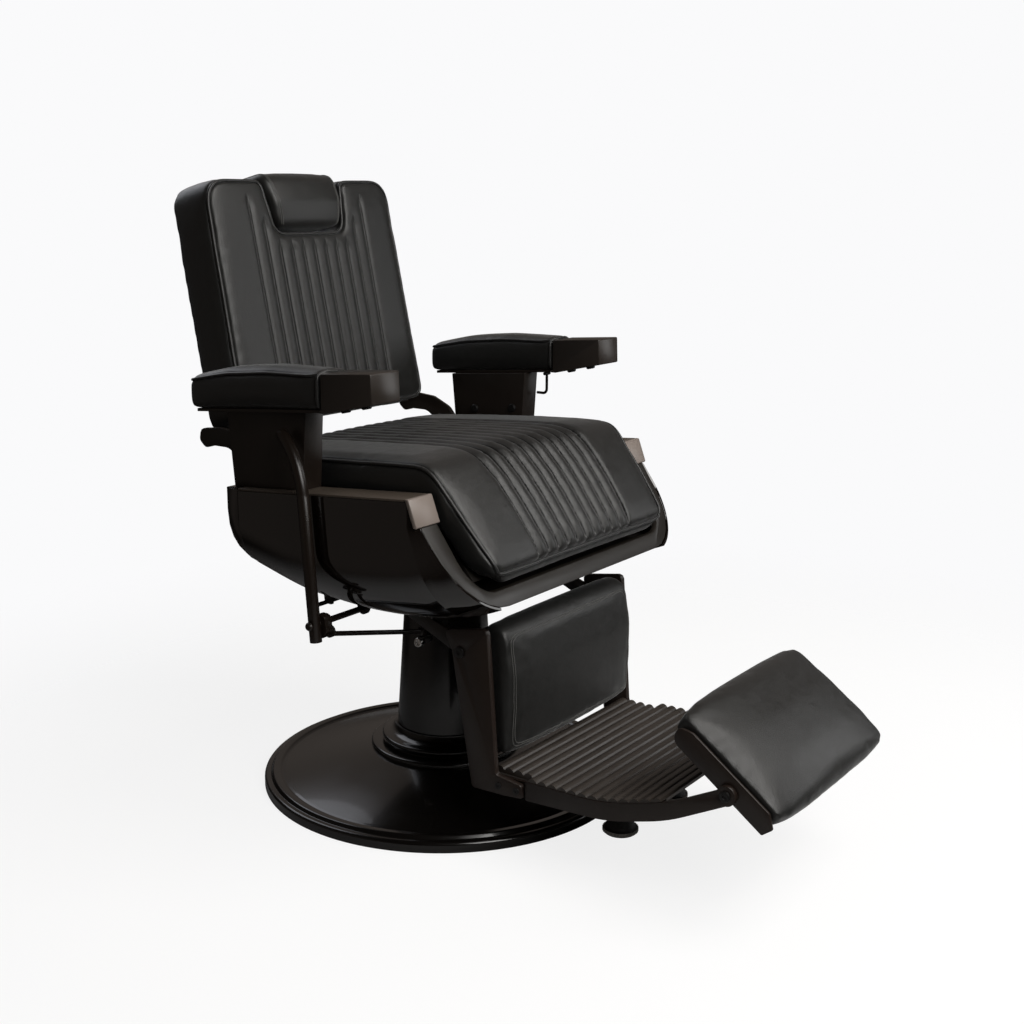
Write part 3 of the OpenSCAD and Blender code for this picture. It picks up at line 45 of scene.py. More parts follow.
# Camera: a long lens at eye height, before the chair and to the lever's side of it. The frame is
# square.
def placed(name, data):
    """A new object of the scene."""
    made = bpy.data.objects.new(name, data)
    scene.collection.objects.link(made)
    return made


eye = (-1.8360, -1.4542, 1.0181)
azimuth, elevation, roll = (math.radians(a) for a in (-54.417, 13.027, 0.423))
frame_px, focal_px = 1024, 1400.02
toward = Vector((math.sin(azimuth) * math.cos(elevation), -math.cos(azimuth) * math.cos(elevation),
                 math.sin(elevation)))
level = (-toward).cross(Vector((0, 0, 1))).normalized()
upward = level.cross(-toward)
camera = placed("camera", bpy.data.cameras.new("camera"))
camera.data.sensor_width = 36
camera.data.angle = 2 * math.atan(frame_px / 2 / focal_px)
camera.data.clip_end = 60
camera.matrix_world = Matrix.Translation(eye) @ Matrix((
    math.cos(roll) * level + math.sin(roll) * upward,
    math.cos(roll) * upward - math.sin(roll) * level,
    toward)).transposed().to_4x4()
scene.camera = camera


# Studio: a pale paper floor and four large soft lamps: one above, one before the chair, and weak
# ones on the left arm's side and behind. The rest of the room is dark.
def colour(code):
    """Linear values of an sRGB hex colour."""
    parts = (int(code[i:i + 2], 16) / 255 for i in (1, 3, 5))
    return [p / 12.92 if p <= 0.04045 else ((p + 0.055) / 1.055) ** 2.4 for p in parts] + [1.0]


def add(tree, kind, inputs=(), **settings):
    """One shader node. inputs gives each socket a value, or (node, output) as a link."""
    made = tree.nodes.new("ShaderNode" + kind)
    for name, value in settings.items():
        setattr(made, name, value)
    for name, value in dict(inputs).items():
        if isinstance(value, tuple) and isinstance(value[0], bpy.types.Node):
            tree.links.new(value[0].outputs[value[1]], made.inputs[name])
        else:
            made.inputs[name].default_value = value
    return made


seat_middle = Vector((0, -0.1, 0.6))


def soft_lamp(name, place, side, watts, tint):
    """A square lamp with the given side in metres, turned to the seat."""
    lamp = placed(name, bpy.data.lights.new(name, "AREA"))
    lamp.data.shape = "RECTANGLE"
    lamp.data.size = lamp.data.size_y = side
    lamp.data.energy = watts
    lamp.data.color = colour(tint)[:3]
    way = Vector(place) - seat_middle
    lamp.matrix_world = Matrix.Translation(place) @ way.to_track_quat("Z", "Y").to_matrix().to_4x4()


soft_lamp("lamp_above", (0.53, -1.68, 2.72), 1.5, 36, "#fffcf8")
soft_lamp("lamp_before", (-0.82, -2.28, 1.96), 1.5, 42, "#fffdfa")
soft_lamp("lamp_left_arm_side", (1.95, -1.9, 1.15), 1.3, 11, "#ffffff")
soft_lamp("lamp_behind", (0.1, 2.06, 2.22), 1.5, 11, "#f2f6ff")

world = bpy.data.worlds.new("studio")
world.use_nodes = True
tree = world.node_tree
tree.nodes.clear()
rays = add(tree, "LightPath")
way = add(tree, "TexCoord")
# two pale walls: a bright one behind the left arm, high up, and a dim one on the lever's side
pale_walls = [((0.6, 0.45, 0.66), 0.2), ((-0.82, 0.57, 0.0), 0.075)]
dark_room = 0.006
light = None
for toward_wall, strength in pale_walls:
    facing = add(tree, "VectorMath", {0: (way, "Generated"), 1: toward_wall}, operation="DOT_PRODUCT")
    wall = add(tree, "MapRange", {"Value": (facing, "Value"), "From Min": 0.6, "From Max": 0.96,
                                  "To Min": dark_room, "To Max": strength}, interpolation_type="SMOOTHSTEP")
    light = add(tree, "Math", {0: (wall, "Result"), 1: (light, 0) if light else 0.0})
room = add(tree, "Background", {"Color": colour("#f6e6da"), "Strength": (light, 0)})
white = add(tree, "Background", {"Color": colour("#fafafb"), "Strength": 1.0})
seen = add(tree, "Math", {0: (rays, "Is Camera Ray"), 1: (rays, "Is Transmission Ray")},
           operation="MAXIMUM")
both = add(tree, "MixShader", {0: (seen, 0), 1: (room, 0), 2: (white, 0)})
add(tree, "OutputWorld", {"Surface": (both, 0)})
scene.world = world
scene.view_settings.view_transform = "Standard"


def meshed(form, name):
    """A bmesh as a mesh. The bmesh is used up."""
    mesh = bpy.data.meshes.new(name)
    form.to_mesh(mesh)
    form.free()
    return mesh


def blank(name):
    """A new material, its node tree, and the tree's only node so far, which gives places."""
    made = bpy.data.materials.new(name)
    made.use_nodes = True
    made.node_tree.nodes.clear()
    return made, made.node_tree, add(made.node_tree, "TexCoord")


floor_half = 9
form = bmesh.new()
bmesh.ops.create_grid(form, x_segments=1, y_segments=1, size=floor_half)
floor = placed("floor", meshed(form, "floor"))
paper, tree, place = blank("studio_paper")
rays = add(tree, "LightPath")
# the lamps see plain matt paper, and the eye sees it lifted almost to the white of the wall
matt = add(tree, "BsdfDiffuse", {"Color": colour("#a0a0a0")})
pale = add(tree, "BsdfDiffuse", {"Color": colour("#7c7c7c")})
glow = add(tree, "Emission", {"Color": colour("#ffffff"), "Strength": 0.83})
lifted = add(tree, "AddShader", {0: (pale, 0), 1: (glow, 0)})
clear = add(tree, "BsdfTransparent")
# the paper fades into the wall away from the chair, from and to so many metres
seen_fade, lamp_fade = (0.8, 1.9), (0.7, 1.25)
centred = add(tree, "Mapping", {"Vector": (place, "Object"), "Location": (-0.1, 0.3, 0.0)})
far = add(tree, "VectorMath", {0: (centred, "Vector")}, operation="LENGTH")
fade, short = (add(tree, "MapRange", {"Value": (far, "Value"), "From Min": near, "From Max": end},
                   interpolation_type="SMOOTHSTEP") for near, end in (seen_fade, lamp_fade))
edge = add(tree, "MixShader", {0: (fade, "Result"), 1: (lifted, 0), 2: (clear, 0)})
unseen = add(tree, "MixShader", {0: (short, "Result"), 1: (matt, 0), 2: (clear, 0)})
shown = add(tree, "MixShader", {0: (rays, "Is Camera Ray"), 1: (unseen, 0), 2: (edge, 0)})
add(tree, "OutputMaterial", {"Surface": (shown, 0)})
floor.data.materials.append(paper)


# Base plate: a disc of 8 mm mild steel, flame cut and ground flat. It gives the chair its footing,
# and the pump is bolted on it.
def bare_metal(name, code, roughness, marks_mm=0.8, stretch=(1, 1, 1), depth=0.15, patch_mm=40):
    """Metal without paint, with machining marks of the given width, drawn out by stretch. The marks
    spread its highlights, and its gloss varies in faint patches."""
    metal, tree, place = blank(name)
    drawn = add(tree, "Mapping", {"Vector": (place, "Object"), "Scale": stretch})
    marks = add(tree, "TexNoise", {"Vector": (drawn, "Vector"), "Scale": 1000 / marks_mm, "Detail": 3.0})
    patch = add(tree, "TexNoise", {"Vector": (place, "Object"), "Scale": 1000 / patch_mm, "Detail": 3.0})
    rough = add(tree, "MapRange", {"Value": (patch, "Fac"), "From Min": 0.3, "From Max": 0.7,
                                   "To Min": roughness * 0.8, "To Max": roughness * 1.3})
    bump = add(tree, "Bump", {"Height": (marks, "Fac"), "Strength": depth, "Distance": 0.0002})
    body = add(tree, "BsdfPrincipled", {
        "Base Color": colour(code), "Metallic": 1.0, "Roughness": (rough, "Result"),
        "Normal": (bump, "Normal")})
    add(tree, "OutputMaterial", {"Surface": (body, 0)})
    return metal


def broken(holder, edge_mm, angle):
    """Breaks the edges that are sharper than angle degrees."""
    edges = holder.modifiers.new("broken_edges", "BEVEL")
    edges.width = edge_mm / 1000
    edges.segments = 2
    edges.limit_method = "ANGLE"
    edges.angle_limit = math.radians(angle)
    return edges


def dress(name, material, edge=0.0, angle=35):
    """Gives a carried-over node its finish. Where edge is set its edges are broken by that many mm."""
    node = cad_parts[name]
    node.data.materials.clear()
    node.data.materials.append(material)
    node.data.polygons.foreach_set("use_smooth", [True] * len(node.data.polygons))
    if edge:
        node.modifiers.new("joined", "WELD").merge_threshold = 0.00002
        flat = node.modifiers.new("whole_faces", "DECIMATE")
        flat.decimate_type = "DISSOLVE"
        flat.angle_limit = math.radians(0.6)
        broken(node, edge, angle).harden_normals = True
    return node


ground_steel = bare_metal("ground_steel", "#a9a8a6", 0.34, 0.6, (0.15, 1, 1))
dress("base_plate", ground_steel, 0.8)


# Base cover: one pressing of 4 mm sheet with a domed deck and a rolled, stepped rim, sprayed black
# and stoved. It hides the base plate and the foot of the pump.
def sprayed(name, code, roughness, ripple=0.05, coat=0.0, other=None, ripple_mm=3.03, patch_mm=62.5):
    """Two-pack paint on steel. The coat dries with a fine ripple like orange skin, which softens
    the edges of what it mirrors, and its gloss and tone vary in wide patches."""
    paint, tree, place = blank(name)
    peel = add(tree, "TexNoise", {"Vector": (place, "Object"), "Scale": 1000 / ripple_mm, "Detail": 2.0})
    patch = add(tree, "TexNoise", {"Vector": (place, "Object"), "Scale": 1000 / patch_mm, "Detail": 3.0})
    rough = add(tree, "MapRange", {"Value": (patch, "Fac"), "From Min": 0.3, "From Max": 0.7,
                                   "To Min": roughness * 0.88, "To Max": roughness * 1.15})
    tone = add(tree, "Mix", {"Factor": (patch, "Fac"), "A": colour(code), "B": colour(other or code)},
               data_type="RGBA")
    bump = add(tree, "Bump", {"Height": (peel, "Fac"), "Strength": ripple, "Distance": 0.0006})
    body = add(tree, "BsdfPrincipled", {
        "Base Color": (tone, "Result"), "Roughness": (rough, "Result"), "Normal": (bump, "Normal"),
        "IOR": 1.5, "Coat Weight": coat, "Coat Roughness": 0.05, "Coat IOR": 1.5})
    add(tree, "OutputMaterial", {"Surface": (body, 0)})
    return paint


def corner_points(a, b, c, radius, steps):
    """Points of the arc that rounds the corner b, between a and c."""
    a, b, c = Vector(a), Vector(b), Vector(c)
    to_a, to_c = (a - b).normalized(), (c - b).normalized()
    half = to_a.angle(to_c) / 2
    reach = radius / math.tan(half)
    centre = b + (to_a + to_c).normalized() * radius / math.sin(half)
    start, end = b + to_a * reach - centre, b + to_c * reach - centre
    sweep = start.angle_signed(end)
    return [centre + Matrix.Rotation(-sweep * k / steps, 2) @ start for k in range(steps + 1)]


def rounded(points, steps=8):
    """A closed outline in mm with its corners rounded, from (a, b, radius) corners."""
    out = []
    for i, (a, b, radius) in enumerate(points):
        before, after = points[i - 1][:2], points[(i + 1) % len(points)][:2]
        out += corner_points(before, (a, b), after, radius, steps) if radius else [Vector((a, b))]
    return out


def finished(name, mesh, material, body, slot, *nodes, sharp=None):
    """A new piece from its mesh, riding on its body in place of the nodes it stands for. Edges
    sharper than sharp degrees stay crisp."""
    piece = placed(name, mesh)
    mesh.materials.clear()
    mesh.materials.append(material)
    mesh.polygons.foreach_set("use_smooth", [True] * len(mesh.polygons))
    if sharp:
        mesh.set_sharp_from_angle(angle=math.radians(sharp))
    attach(piece, body)
    if nodes:
        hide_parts(*nodes)
    return piece


def spun(profile, steps=144, turned=None):
    """A round piece from its closed section, in mm as (radius, height)."""
    form = bmesh.new()
    line = [form.verts.new((r / 1000, 0, z / 1000)) for r, z in profile]
    edges = [form.edges.new(pair) for pair in zip(line, line[1:] + line[:1])]
    bmesh.ops.spin(form, geom=line + edges, cent=(0, 0, 0), axis=(0, 0, 1), angle=2 * math.pi, steps=steps,
                   use_merge=True)
    bmesh.ops.remove_doubles(form, verts=form.verts, dist=0.00001)
    bmesh.ops.dissolve_degenerate(form, edges=form.edges, dist=0.00001)
    bmesh.ops.recalc_face_normals(form, faces=form.faces)
    if turned:
        bmesh.ops.transform(form, matrix=turned, verts=form.verts)
    return meshed(form, "turned")


base_enamel = sprayed("base_enamel", "#0b0908", 0.20, 0.03, coat=0.3, other="#0e0c0a")
base_r, dome_r, collar_r, pump_hole_r = 320, 284, 132, 52.5
dome_foot, deck_z, cover_t = 21.5, 60, 4
dome = []
for t in (k / 14 for k in range(1, 15)):
    swell = 0.72 * t + 0.28 * math.sin(math.pi / 2 * t)
    dome.append((dome_r - (dome_r - collar_r) * t, dome_foot + (deck_z - dome_foot) * swell, 0))
rolled_rim = [(base_r, 0, 0), (base_r, 17, 6), (309, 17.5, 2), (304, 23.5, 4.5), (293, 22.5, 3),
              (289, 19.6, 1.6), (dome_r, dome_foot, 1)]
inside = [(pump_hole_r, deck_z, 0), (pump_hole_r, deck_z - cover_t, 0), (collar_r, deck_z - cover_t, 0),
          (dome_r, dome_foot - cover_t, 0), (base_r - cover_t, 12, 0), (base_r - cover_t, 0, 0)]
cover_line = rounded(rolled_rim + dome + inside, 6)
finished("base_pressing", spun(cover_line), base_enamel, "base", "base_enamel", "base_cover", sharp=50)


# Foot collar: an iron casting turned on the outside, with a flange, a bulge and a hollow neck.
# It sits on the cover and hides the gap round the column.
collar_z, collar_top, collar_bore, neck_r, neck_z = 60.1, 100, 75, 106, 84
neck = [(neck_r - 20 * math.sin(a), neck_z + (collar_top - neck_z) * (1 - math.cos(a)), 0)
        for a in (math.pi / 2 * k / 10 for k in range(1, 11))]
flange = [(collar_bore, collar_z, 0), (collar_r, collar_z, 0), (collar_r, 69, 4.5), (110, 69, 0.8)]
bulge = [(107, 70, 1), (113, 77, 6), (112, 83, 4), (neck_r, neck_z, 0)]
collar_line = rounded(flange + bulge + neck + [(collar_bore, collar_top, 0)], 7)
finished("collar_casting", spun(collar_line), base_enamel, "base", "base_enamel", "foot_collar", sharp=60)


# Pump: a cast cylinder on a flange, with a bronze gland in its mouth. The flange is held down by
# six zinc-plated screws.
def cast(name, code, roughness, grain_mm=1.4, depth=0.5):
    """Sand-cast iron under a thin coat of paint: the pits of the mould show through and dull it."""
    iron, tree, place = blank(name)
    sand = add(tree, "TexNoise", {"Vector": (place, "Object"), "Scale": 1000 / grain_mm, "Detail": 4.0,
                                  "Roughness": 0.6})
    tone = add(tree, "Mix", {"Factor": (sand, "Fac"), "A": colour(code), "B": colour("#201e1c")},
               data_type="RGBA")
    bump = add(tree, "Bump", {"Height": (sand, "Fac"), "Strength": depth, "Distance": 0.0006})
    body = add(tree, "BsdfPrincipled", {"Base Color": (tone, "Result"), "Roughness": roughness,
                                        "Normal": (bump, "Normal"), "IOR": 1.5})
    add(tree, "OutputMaterial", {"Surface": (body, 0)})
    return iron


cast_iron = cast("painted_cast_iron", "#171514", 0.5)
bronze = bare_metal("bearing_bronze", "#b08a4a", 0.3, 0.5, (1, 1, 0.2))
zinc = bare_metal("zinc_plated_steel", "#b9bab8", 0.38, 1.2)
dress("pump_cylinder", cast_iron, 1.0)
dress("gland_ring", bronze, 0.5)
dress("pump_bolts", zinc, 0.8)


# Ram: a ground and hard-chromed bar with a piston on its foot. The seat turns on its spigot, on a
# thrust bearing.
ram_chrome = bare_metal("hard_chrome", "#c4c5c7", 0.12, 0.4, (0.2, 0.2, 1), 0.05)
dress("ram", ram_chrome, 0.5)
dress("ram_piston", bronze, 0.3)
dress("thrust_bearing", ground_steel, 0.3)


# Seat head and column skirt: an iron casting with four ribs under the seat, and a rolled cone of
# 3 mm sheet that hangs from it over the pump. A chromed socket screw holds the cone, with a small
# black boss beside it.
dress("seat_head", cast_iron, 1.2)
skirt_low_r, skirt_top_r, skirt_foot, skirt_top, skirt_t = 85, 69, 102, 358, 3
skirt_line = [(skirt_low_r - skirt_t, skirt_foot), (skirt_low_r, skirt_foot), (skirt_top_r, skirt_top - 3),
              (skirt_top_r - skirt_t, skirt_top), (61.4, skirt_top), (61.4, skirt_top - 4),
              (skirt_top_r - skirt_t, skirt_top - 4)]
finished("skirt_cone", spun(skirt_line), base_enamel, "seat", "base_enamel", "column_skirt", sharp=30)

cone_slope = (skirt_low_r - skirt_top_r) / (skirt_top - skirt_foot)
chrome = bare_metal("polished_chrome", "#d9d8d6", 0.24, 0.4, depth=0.03)


def on_skirt(turn, height):
    """Place on the skirt, square to the cone, for a piece drawn standing on its foot."""
    radius = skirt_low_r - cone_slope * (height - skirt_foot)
    out = Matrix.Translation((radius / 1000, 0, height / 1000))
    square = Matrix.Rotation(math.pi / 2 - math.atan(cone_slope), 4, "Y")
    return Matrix.Rotation(math.radians(turn), 4, "Z") @ out @ square


black_oxide = sprayed("black_oxide_screws", "#0a0909", 0.45, 0.05)
head_r, head_h, boss_r, boss_h = 9.5, 6, 4.5, 9
head_line = rounded([(0, -1, 0), (head_r, -1, 0), (head_r, 2.4, 1.2), (7.6, head_h, 2.2), (4.4, head_h, 0.5),
                     (3.9, 3.2, 0.3), (0, 3.4, 0)], 5)
finished("skirt_screw_head", spun(head_line, 40, on_skirt(182, 262)), chrome, "seat", "chrome", "skirt_screw",
         sharp=40)
boss_line = rounded([(0, -1, 0), (boss_r, -1, 0), (boss_r, boss_h, 1), (0, boss_h, 0)], 3)
finished("skirt_boss", spun(boss_line, 32, on_skirt(196, 270)), black_oxide, "seat", "black_screws", sharp=40)


# Inner steelwork of the seat: pan, side frames, board rails and hinge plates, laser cut from 6 mm
# sheet, welded and sprayed with the same satin paint as the rest, only thinner.
inner_paint = sprayed("satin_inner_paint", "#15110f", 0.45, 0.08)
for name in ("under_pan", "under_frame", "side_frames", "back_hinges", "shaft_hangers", "rod_post"):
    dress(name, inner_paint, 0.8)


# Side shells: steel sheet 4 mm thick, rolled over the flank and turned in underneath, with a bend
# down the front where a flat flange begins. Sprayed in a high gloss. The top rail is a separate
# strip with a satin finish, its colour lightened as painted light on its upward face.
shell_paint = sprayed("gloss_shell_paint", "#0f0b09", 0.06, 0.008, coat=1.0, other="#120d0a")
# painted light: the rail's satin paint is coloured lighter, standing in for the light on its upward face
rail_paint_painted_light = sprayed("satin_rail_paint", "#4a423b", 0.36, 0.06, other="#51483f")
rail_in_x, rail_front, rail_t = 270, -181.9, 4.2
shell_x, shell_t, flank_r, turned_in_x = 325, 4, 100, 240
shell_front, shell_bend, shell_rear, cap_foot_z = -298, -233, 162.4, 538
# the front leans by 94 mm over the height below the end cap
lean_h = 129
front_run = 94 / lean_h
# rows at places along the shell: its share of that lean, half width and lower edge
stations = [(shell_front, 0.5, shell_x, 391), (shell_bend, 0.5, shell_x, 391), (-190, 0.45, shell_x, 382),
            (-130, 0.3, shell_x, 374.5), (-60, 0.15, shell_x, 371), (10, 0, shell_x, 374),
            (60, 0, shell_x, 378), (100, 0, shell_x, 386), (shell_rear, 0, shell_x, 402)]


def rail_z(y):
    """Height of the top rail, which falls 32 mm over its 390 mm to the rear."""
    return 580 - 32 / 390 * (y + 188)


def along(table, at):
    """Value of each column at a place in the first column, smooth through the rows."""
    for i in range(len(table) - 1):
        if at <= table[i + 1][0] or i == len(table) - 2:
            break
    before, a, b, after = (table[min(max(k, 0), len(table) - 1)] for k in (i - 1, i, i + 1, i + 2))
    t = (at - a[0]) / (b[0] - a[0])
    out = []
    for k in range(1, len(a)):
        rise_a = (b[k] - before[k]) / max(b[0] - before[0], 1)
        rise_b = (after[k] - a[k]) / max(after[0] - a[0], 1)
        gap = b[0] - a[0]
        out.append(a[k] * (2 * t ** 3 - 3 * t * t + 1) + b[k] * (3 * t * t - 2 * t ** 3) +
                   rise_a * gap * (t ** 3 - 2 * t * t + t) + rise_b * gap * (t ** 3 - t * t))
    return out


def shell_row(at):
    """One line of the shell's outside, from the rail down and in to its lower edge."""
    if at < shell_bend:
        # the flat flange before the bend draws in and rises to the front
        part = (at - shell_front) / (shell_bend - shell_front)
        lean, wide, low = 1 - 0.5 * part, 316 + 9 * part, 410 - 19 * part
    else:
        lean, wide, low = along(stations, at)
    slope = lean * front_run
    top = rail_z(at + slope * lean_h) - rail_t
    # it leans forward as far as the foot of the end cap and stands upright above
    points = [(wide, top + (cap_foot_z - top) * k / 3) for k in range(3)]
    points += [(wide, cap_foot_z + (low + flank_r - cap_foot_z) * k / 6) for k in range(6)]
    # the roll under, as far as the turned-in edge
    last = math.acos((turned_in_x - wide + flank_r) / flank_r)
    turns = [last * k / 18 for k in range(19)]
    points += [(wide - flank_r + flank_r * math.cos(a), low + flank_r - flank_r * math.sin(a)) for a in turns]
    lean_z = cap_foot_z - lean_h
    return [Vector((x, at + slope * (min(z, cap_foot_z) - lean_z), z)) / 1000 for x, z in points]


def lofted(rows):
    """Faces over rows of points, one row after another, as a bmesh."""
    form = bmesh.new()
    for row in rows:
        chain = [form.verts.new(p) for p in row]
        for pair in zip(chain, chain[1:]):
            form.edges.new(pair)
    edges = list(form.edges)
    count = len(rows[0]) - 1
    for k in range(len(rows) - 1):
        bmesh.ops.bridge_loops(form, edges=edges[k * count:(k + 2) * count])
    return form


def mirrored(form, sign):
    """Turns a left piece into the right one where sign is -1, with its faces outward."""
    if sign < 0:
        bmesh.ops.scale(form, verts=form.verts, vec=(-1, 1, 1))
    bmesh.ops.recalc_face_normals(form, faces=form.faces)


def applied(piece):
    """The mesh of a piece with its modifiers worked in."""
    graph = bpy.context.evaluated_depsgraph_get()
    mesh = bpy.data.meshes.new_from_object(piece.evaluated_get(graph))
    piece.modifiers.clear()
    piece.data = mesh
    return mesh


def thick(holder, sheet_mm, edge_mm):
    """Sheet metal: the outside given its thickness, with its edges broken."""
    sheet = holder.modifiers.new("sheet", "SOLIDIFY")
    sheet.thickness = sheet_mm / 1000
    sheet.offset = -1
    sheet.use_even_offset = True
    broken(holder, edge_mm, 40)
    mesh = applied(holder)
    bpy.data.objects.remove(holder)
    return mesh


def cut_for_cap(form):
    """Cuts the front top corner of a shell away along the rear of the end cap."""
    cap_foot, cap_back = Vector((0, -0.1974, (cap_foot_z - 0.4) / 1000)), Vector((0, 42.4, -15.5))
    for normal in (Vector((0, 0, 1)), cap_back):
        bmesh.ops.bisect_plane(form, geom=form.verts[:] + form.edges[:] + form.faces[:], dist=0.000001,
                               plane_co=cap_foot, plane_no=normal)
    centres = [(f, f.calc_center_median() - cap_foot) for f in form.faces]
    bmesh.ops.delete(form, geom=[f for f, c in centres if c.z > 0 and c.dot(cap_back) < 0], context="FACES")


places = [shell_front, -276, -255, shell_bend]
places += [shell_bend + (shell_rear - shell_bend) * k / 46 for k in range(1, 47)]
rail_outline = [(rail_in_x, rail_front), (shell_x, rail_front), (shell_x, shell_rear),
                (rail_in_x, shell_rear)]
for side, sign in (("left", 1), ("right", -1)):
    form = lofted([shell_row(at) for at in places])
    cut_for_cap(form)
    mirrored(form, sign)
    mesh = thick(placed("shell", meshed(form, "shell")), shell_t, 0.7)
    finished(f"shell_{side}", mesh, shell_paint, "seat", "shell_gloss", f"side_shell_{side}", sharp=9)

    form = bmesh.new()
    form.faces.new([form.verts.new(Vector((x, y, rail_z(y))) / 1000) for x, y in rail_outline])
    mirrored(form, sign)
    if sign < 0:
        bmesh.ops.reverse_faces(form, faces=[f for f in form.faces if f.normal.z < 0])
    mesh = thick(placed("rail", meshed(form, "rail")), rail_t - 0.1, 1.4)
    finished(f"top_rail_{side}", mesh, rail_paint_painted_light, "seat", "satin_paint", sharp=40)
dress("rear_panel", shell_paint, 0.8, 20)


# Front frame and end caps: a flat U-shaped strip 8 mm thick across the front, and a pressed cap on
# the end of each rail, in two lighter satin paints.
band_paint = sprayed("satin_band_paint", "#1a1713", 0.38, 0.06, other="#201c18")
cap_paint = sprayed("satin_cap_paint", "#80766f", 0.42, 0.06, other="#8a7f78")
dress("front_frame", band_paint, 1.2)
for side in ("left", "right"):
    dress(f"end_cap_{side}", cap_paint, 1.4)


# Seat board: birch plywood 12 mm thick, pressed in a mould so that it bends over the front, and
# stained black. The cushion lies on it, so little more than its edge shows.
def plywood(name, across, veneer_mm=1.5, grain_mm=(125, 6.25, 6.25)):
    """Birch ply stained near black: thin veneers in turn stripe its edge, and a long grain runs
    over its face."""
    board, tree, place = blank(name)
    depth = add(tree, "VectorMath", {0: (place, "Object"), 1: across}, operation="DOT_PRODUCT")
    turns = add(tree, "Math", {0: (depth, "Value"), 1: 2 * math.pi / (2 * veneer_mm / 1000)},
                operation="MULTIPLY")
    layer = add(tree, "Math", {0: (turns, 0)}, operation="SINE")
    long_grain = add(tree, "Mapping", {"Vector": (place, "Object"),
                                       "Scale": [1000 / mm for mm in grain_mm]})
    grain = add(tree, "TexNoise", {"Vector": (long_grain, "Vector"), "Scale": 1.0, "Detail": 5.0})
    share = add(tree, "MapRange", {"Value": (layer, 0), "From Min": -0.2, "From Max": 0.2})
    veneer = add(tree, "Mix", {"Factor": (share, "Result"), "A": colour("#1f1a15"), "B": colour("#16120e")},
                 data_type="RGBA")
    tone = add(tree, "Mix", {"Factor": (grain, "Fac"), "A": (veneer, "Result"), "B": colour("#1b1611")},
               data_type="RGBA")
    bump = add(tree, "Bump", {"Height": (grain, "Fac"), "Strength": 0.2, "Distance": 0.0004})
    body = add(tree, "BsdfPrincipled", {"Base Color": (tone, "Result"), "Roughness": 0.6,
                                        "Normal": (bump, "Normal"), "IOR": 1.45})
    add(tree, "OutputMaterial", {"Surface": (body, 0)})
    return board


dress("seat_board", plywood("plywood_seat", (0, 0, 1)), 0.5)


# Upholstery of all the pads: full-grain hide dyed black, with a fine closed grain, soft creases and
# a low sheen, sewn over foam. Seat and back are sewn in channels 28 mm apart.
channel_pitch = 28.0


def hide(name, code, roughness=0.38, seams=False, grain_mm=2.0, crease_mm=14.29):
    """Black leather, whose grain breaks up its highlights. With seams it is sewn in channels: the
    attribute across is the place across them in mm, and channelled is 1 where they are sewn. There
    the foot of each channel is also painted near black, as painted shade in its groove."""
    skin, tree, place = blank(name)
    # the grain is drawn at 2 mm, twice the real size, because it would not show otherwise
    grain = add(tree, "TexVoronoi", {"Vector": (place, "Object"), "Scale": 1000 / grain_mm},
                feature="DISTANCE_TO_EDGE")
    pores = add(tree, "MapRange", {"Value": (grain, "Distance"), "From Min": 0.0, "From Max": 0.25})
    crease = add(tree, "TexNoise", {"Vector": (place, "Object"), "Scale": 1000 / crease_mm, "Detail": 4.0,
                                    "Roughness": 0.6})
    tone = add(tree, "Mix", {"Factor": (crease, "Fac"), "A": colour(code), "B": colour("#222221")},
               data_type="RGBA")
    rough = add(tree, "MapRange", {"Value": (crease, "Fac"), "From Min": 0.3, "From Max": 0.7,
                                   "To Min": roughness - 0.04, "To Max": roughness + 0.06})
    fine = add(tree, "Bump", {"Height": (pores, "Result"), "Strength": 0.22, "Distance": 0.0004})
    bump = add(tree, "Bump", {"Height": (crease, "Fac"), "Strength": 0.10, "Distance": 0.0015,
                              "Normal": (fine, "Normal")})
    if seams:
        across = add(tree, "Attribute", attribute_name="across")
        sewn_here = add(tree, "Attribute", attribute_name="channelled")
        turns = add(tree, "Math", {0: (across, "Fac"), 1: math.pi / channel_pitch}, operation="MULTIPLY")
        wave = add(tree, "Math", {0: (turns, 0)}, operation="SINE")
        rise = add(tree, "Math", {0: (wave, 0)}, operation="ABSOLUTE")
        # the thread pulls a groove 5 mm wide into the foot of each channel
        groove = add(tree, "MapRange", {"Value": (rise, 0), "From Min": 0.0, "From Max": 0.34},
                     interpolation_type="SMOOTHSTEP")
        deep = add(tree, "Mix", {"Factor": (sewn_here, "Fac"), "A": 1.0, "B": (groove, "Result")},
                   data_type="FLOAT")
        bump = add(tree, "Bump", {"Height": (deep, 0), "Strength": 1.0, "Distance": 0.0018,
                                  "Normal": (bump, "Normal")})
        # painted shade: the colour darkens to near black at the foot of each channel, where the groove falls
        # into shade
        painted_groove_shade = add(tree, "MapRange", {"Value": (deep, 0), "From Min": 0.0, "From Max": 0.7,
                                       "To Min": 0.25, "To Max": 1.0})
        tone = add(tree, "Mix", {"Factor": (painted_groove_shade, "Result"), "A": colour("#050505"),
                                 "B": (tone, "Result")}, data_type="RGBA")
    body = add(tree, "BsdfPrincipled", {
        "Base Color": (tone, "Result"), "Roughness": (rough, "Result"), "Normal": (bump, "Normal"),
        "IOR": 1.5, "Sheen Weight": 0.3, "Sheen Roughness": 0.35, "Sheen Tint": colour("#e4e6e8")})
    add(tree, "OutputMaterial", {"Surface": (body, 0)})
    return skin


black_hide = hide("black_hide", "#171716")
# the piping's hide is coloured lighter than the rest: a painted highlight along the cord
piping_hide_painted_highlight = hide("black_hide_piping_painted_highlight", "#262626", 0.3)
channelled_hide = hide("black_hide_channelled_painted_shade", "#171716", seams=True)


def node_form(name):
    """A copy of a node's solid as a bmesh, to start a cover from."""
    form = bmesh.new()
    form.from_mesh(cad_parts[name].data)
    return form


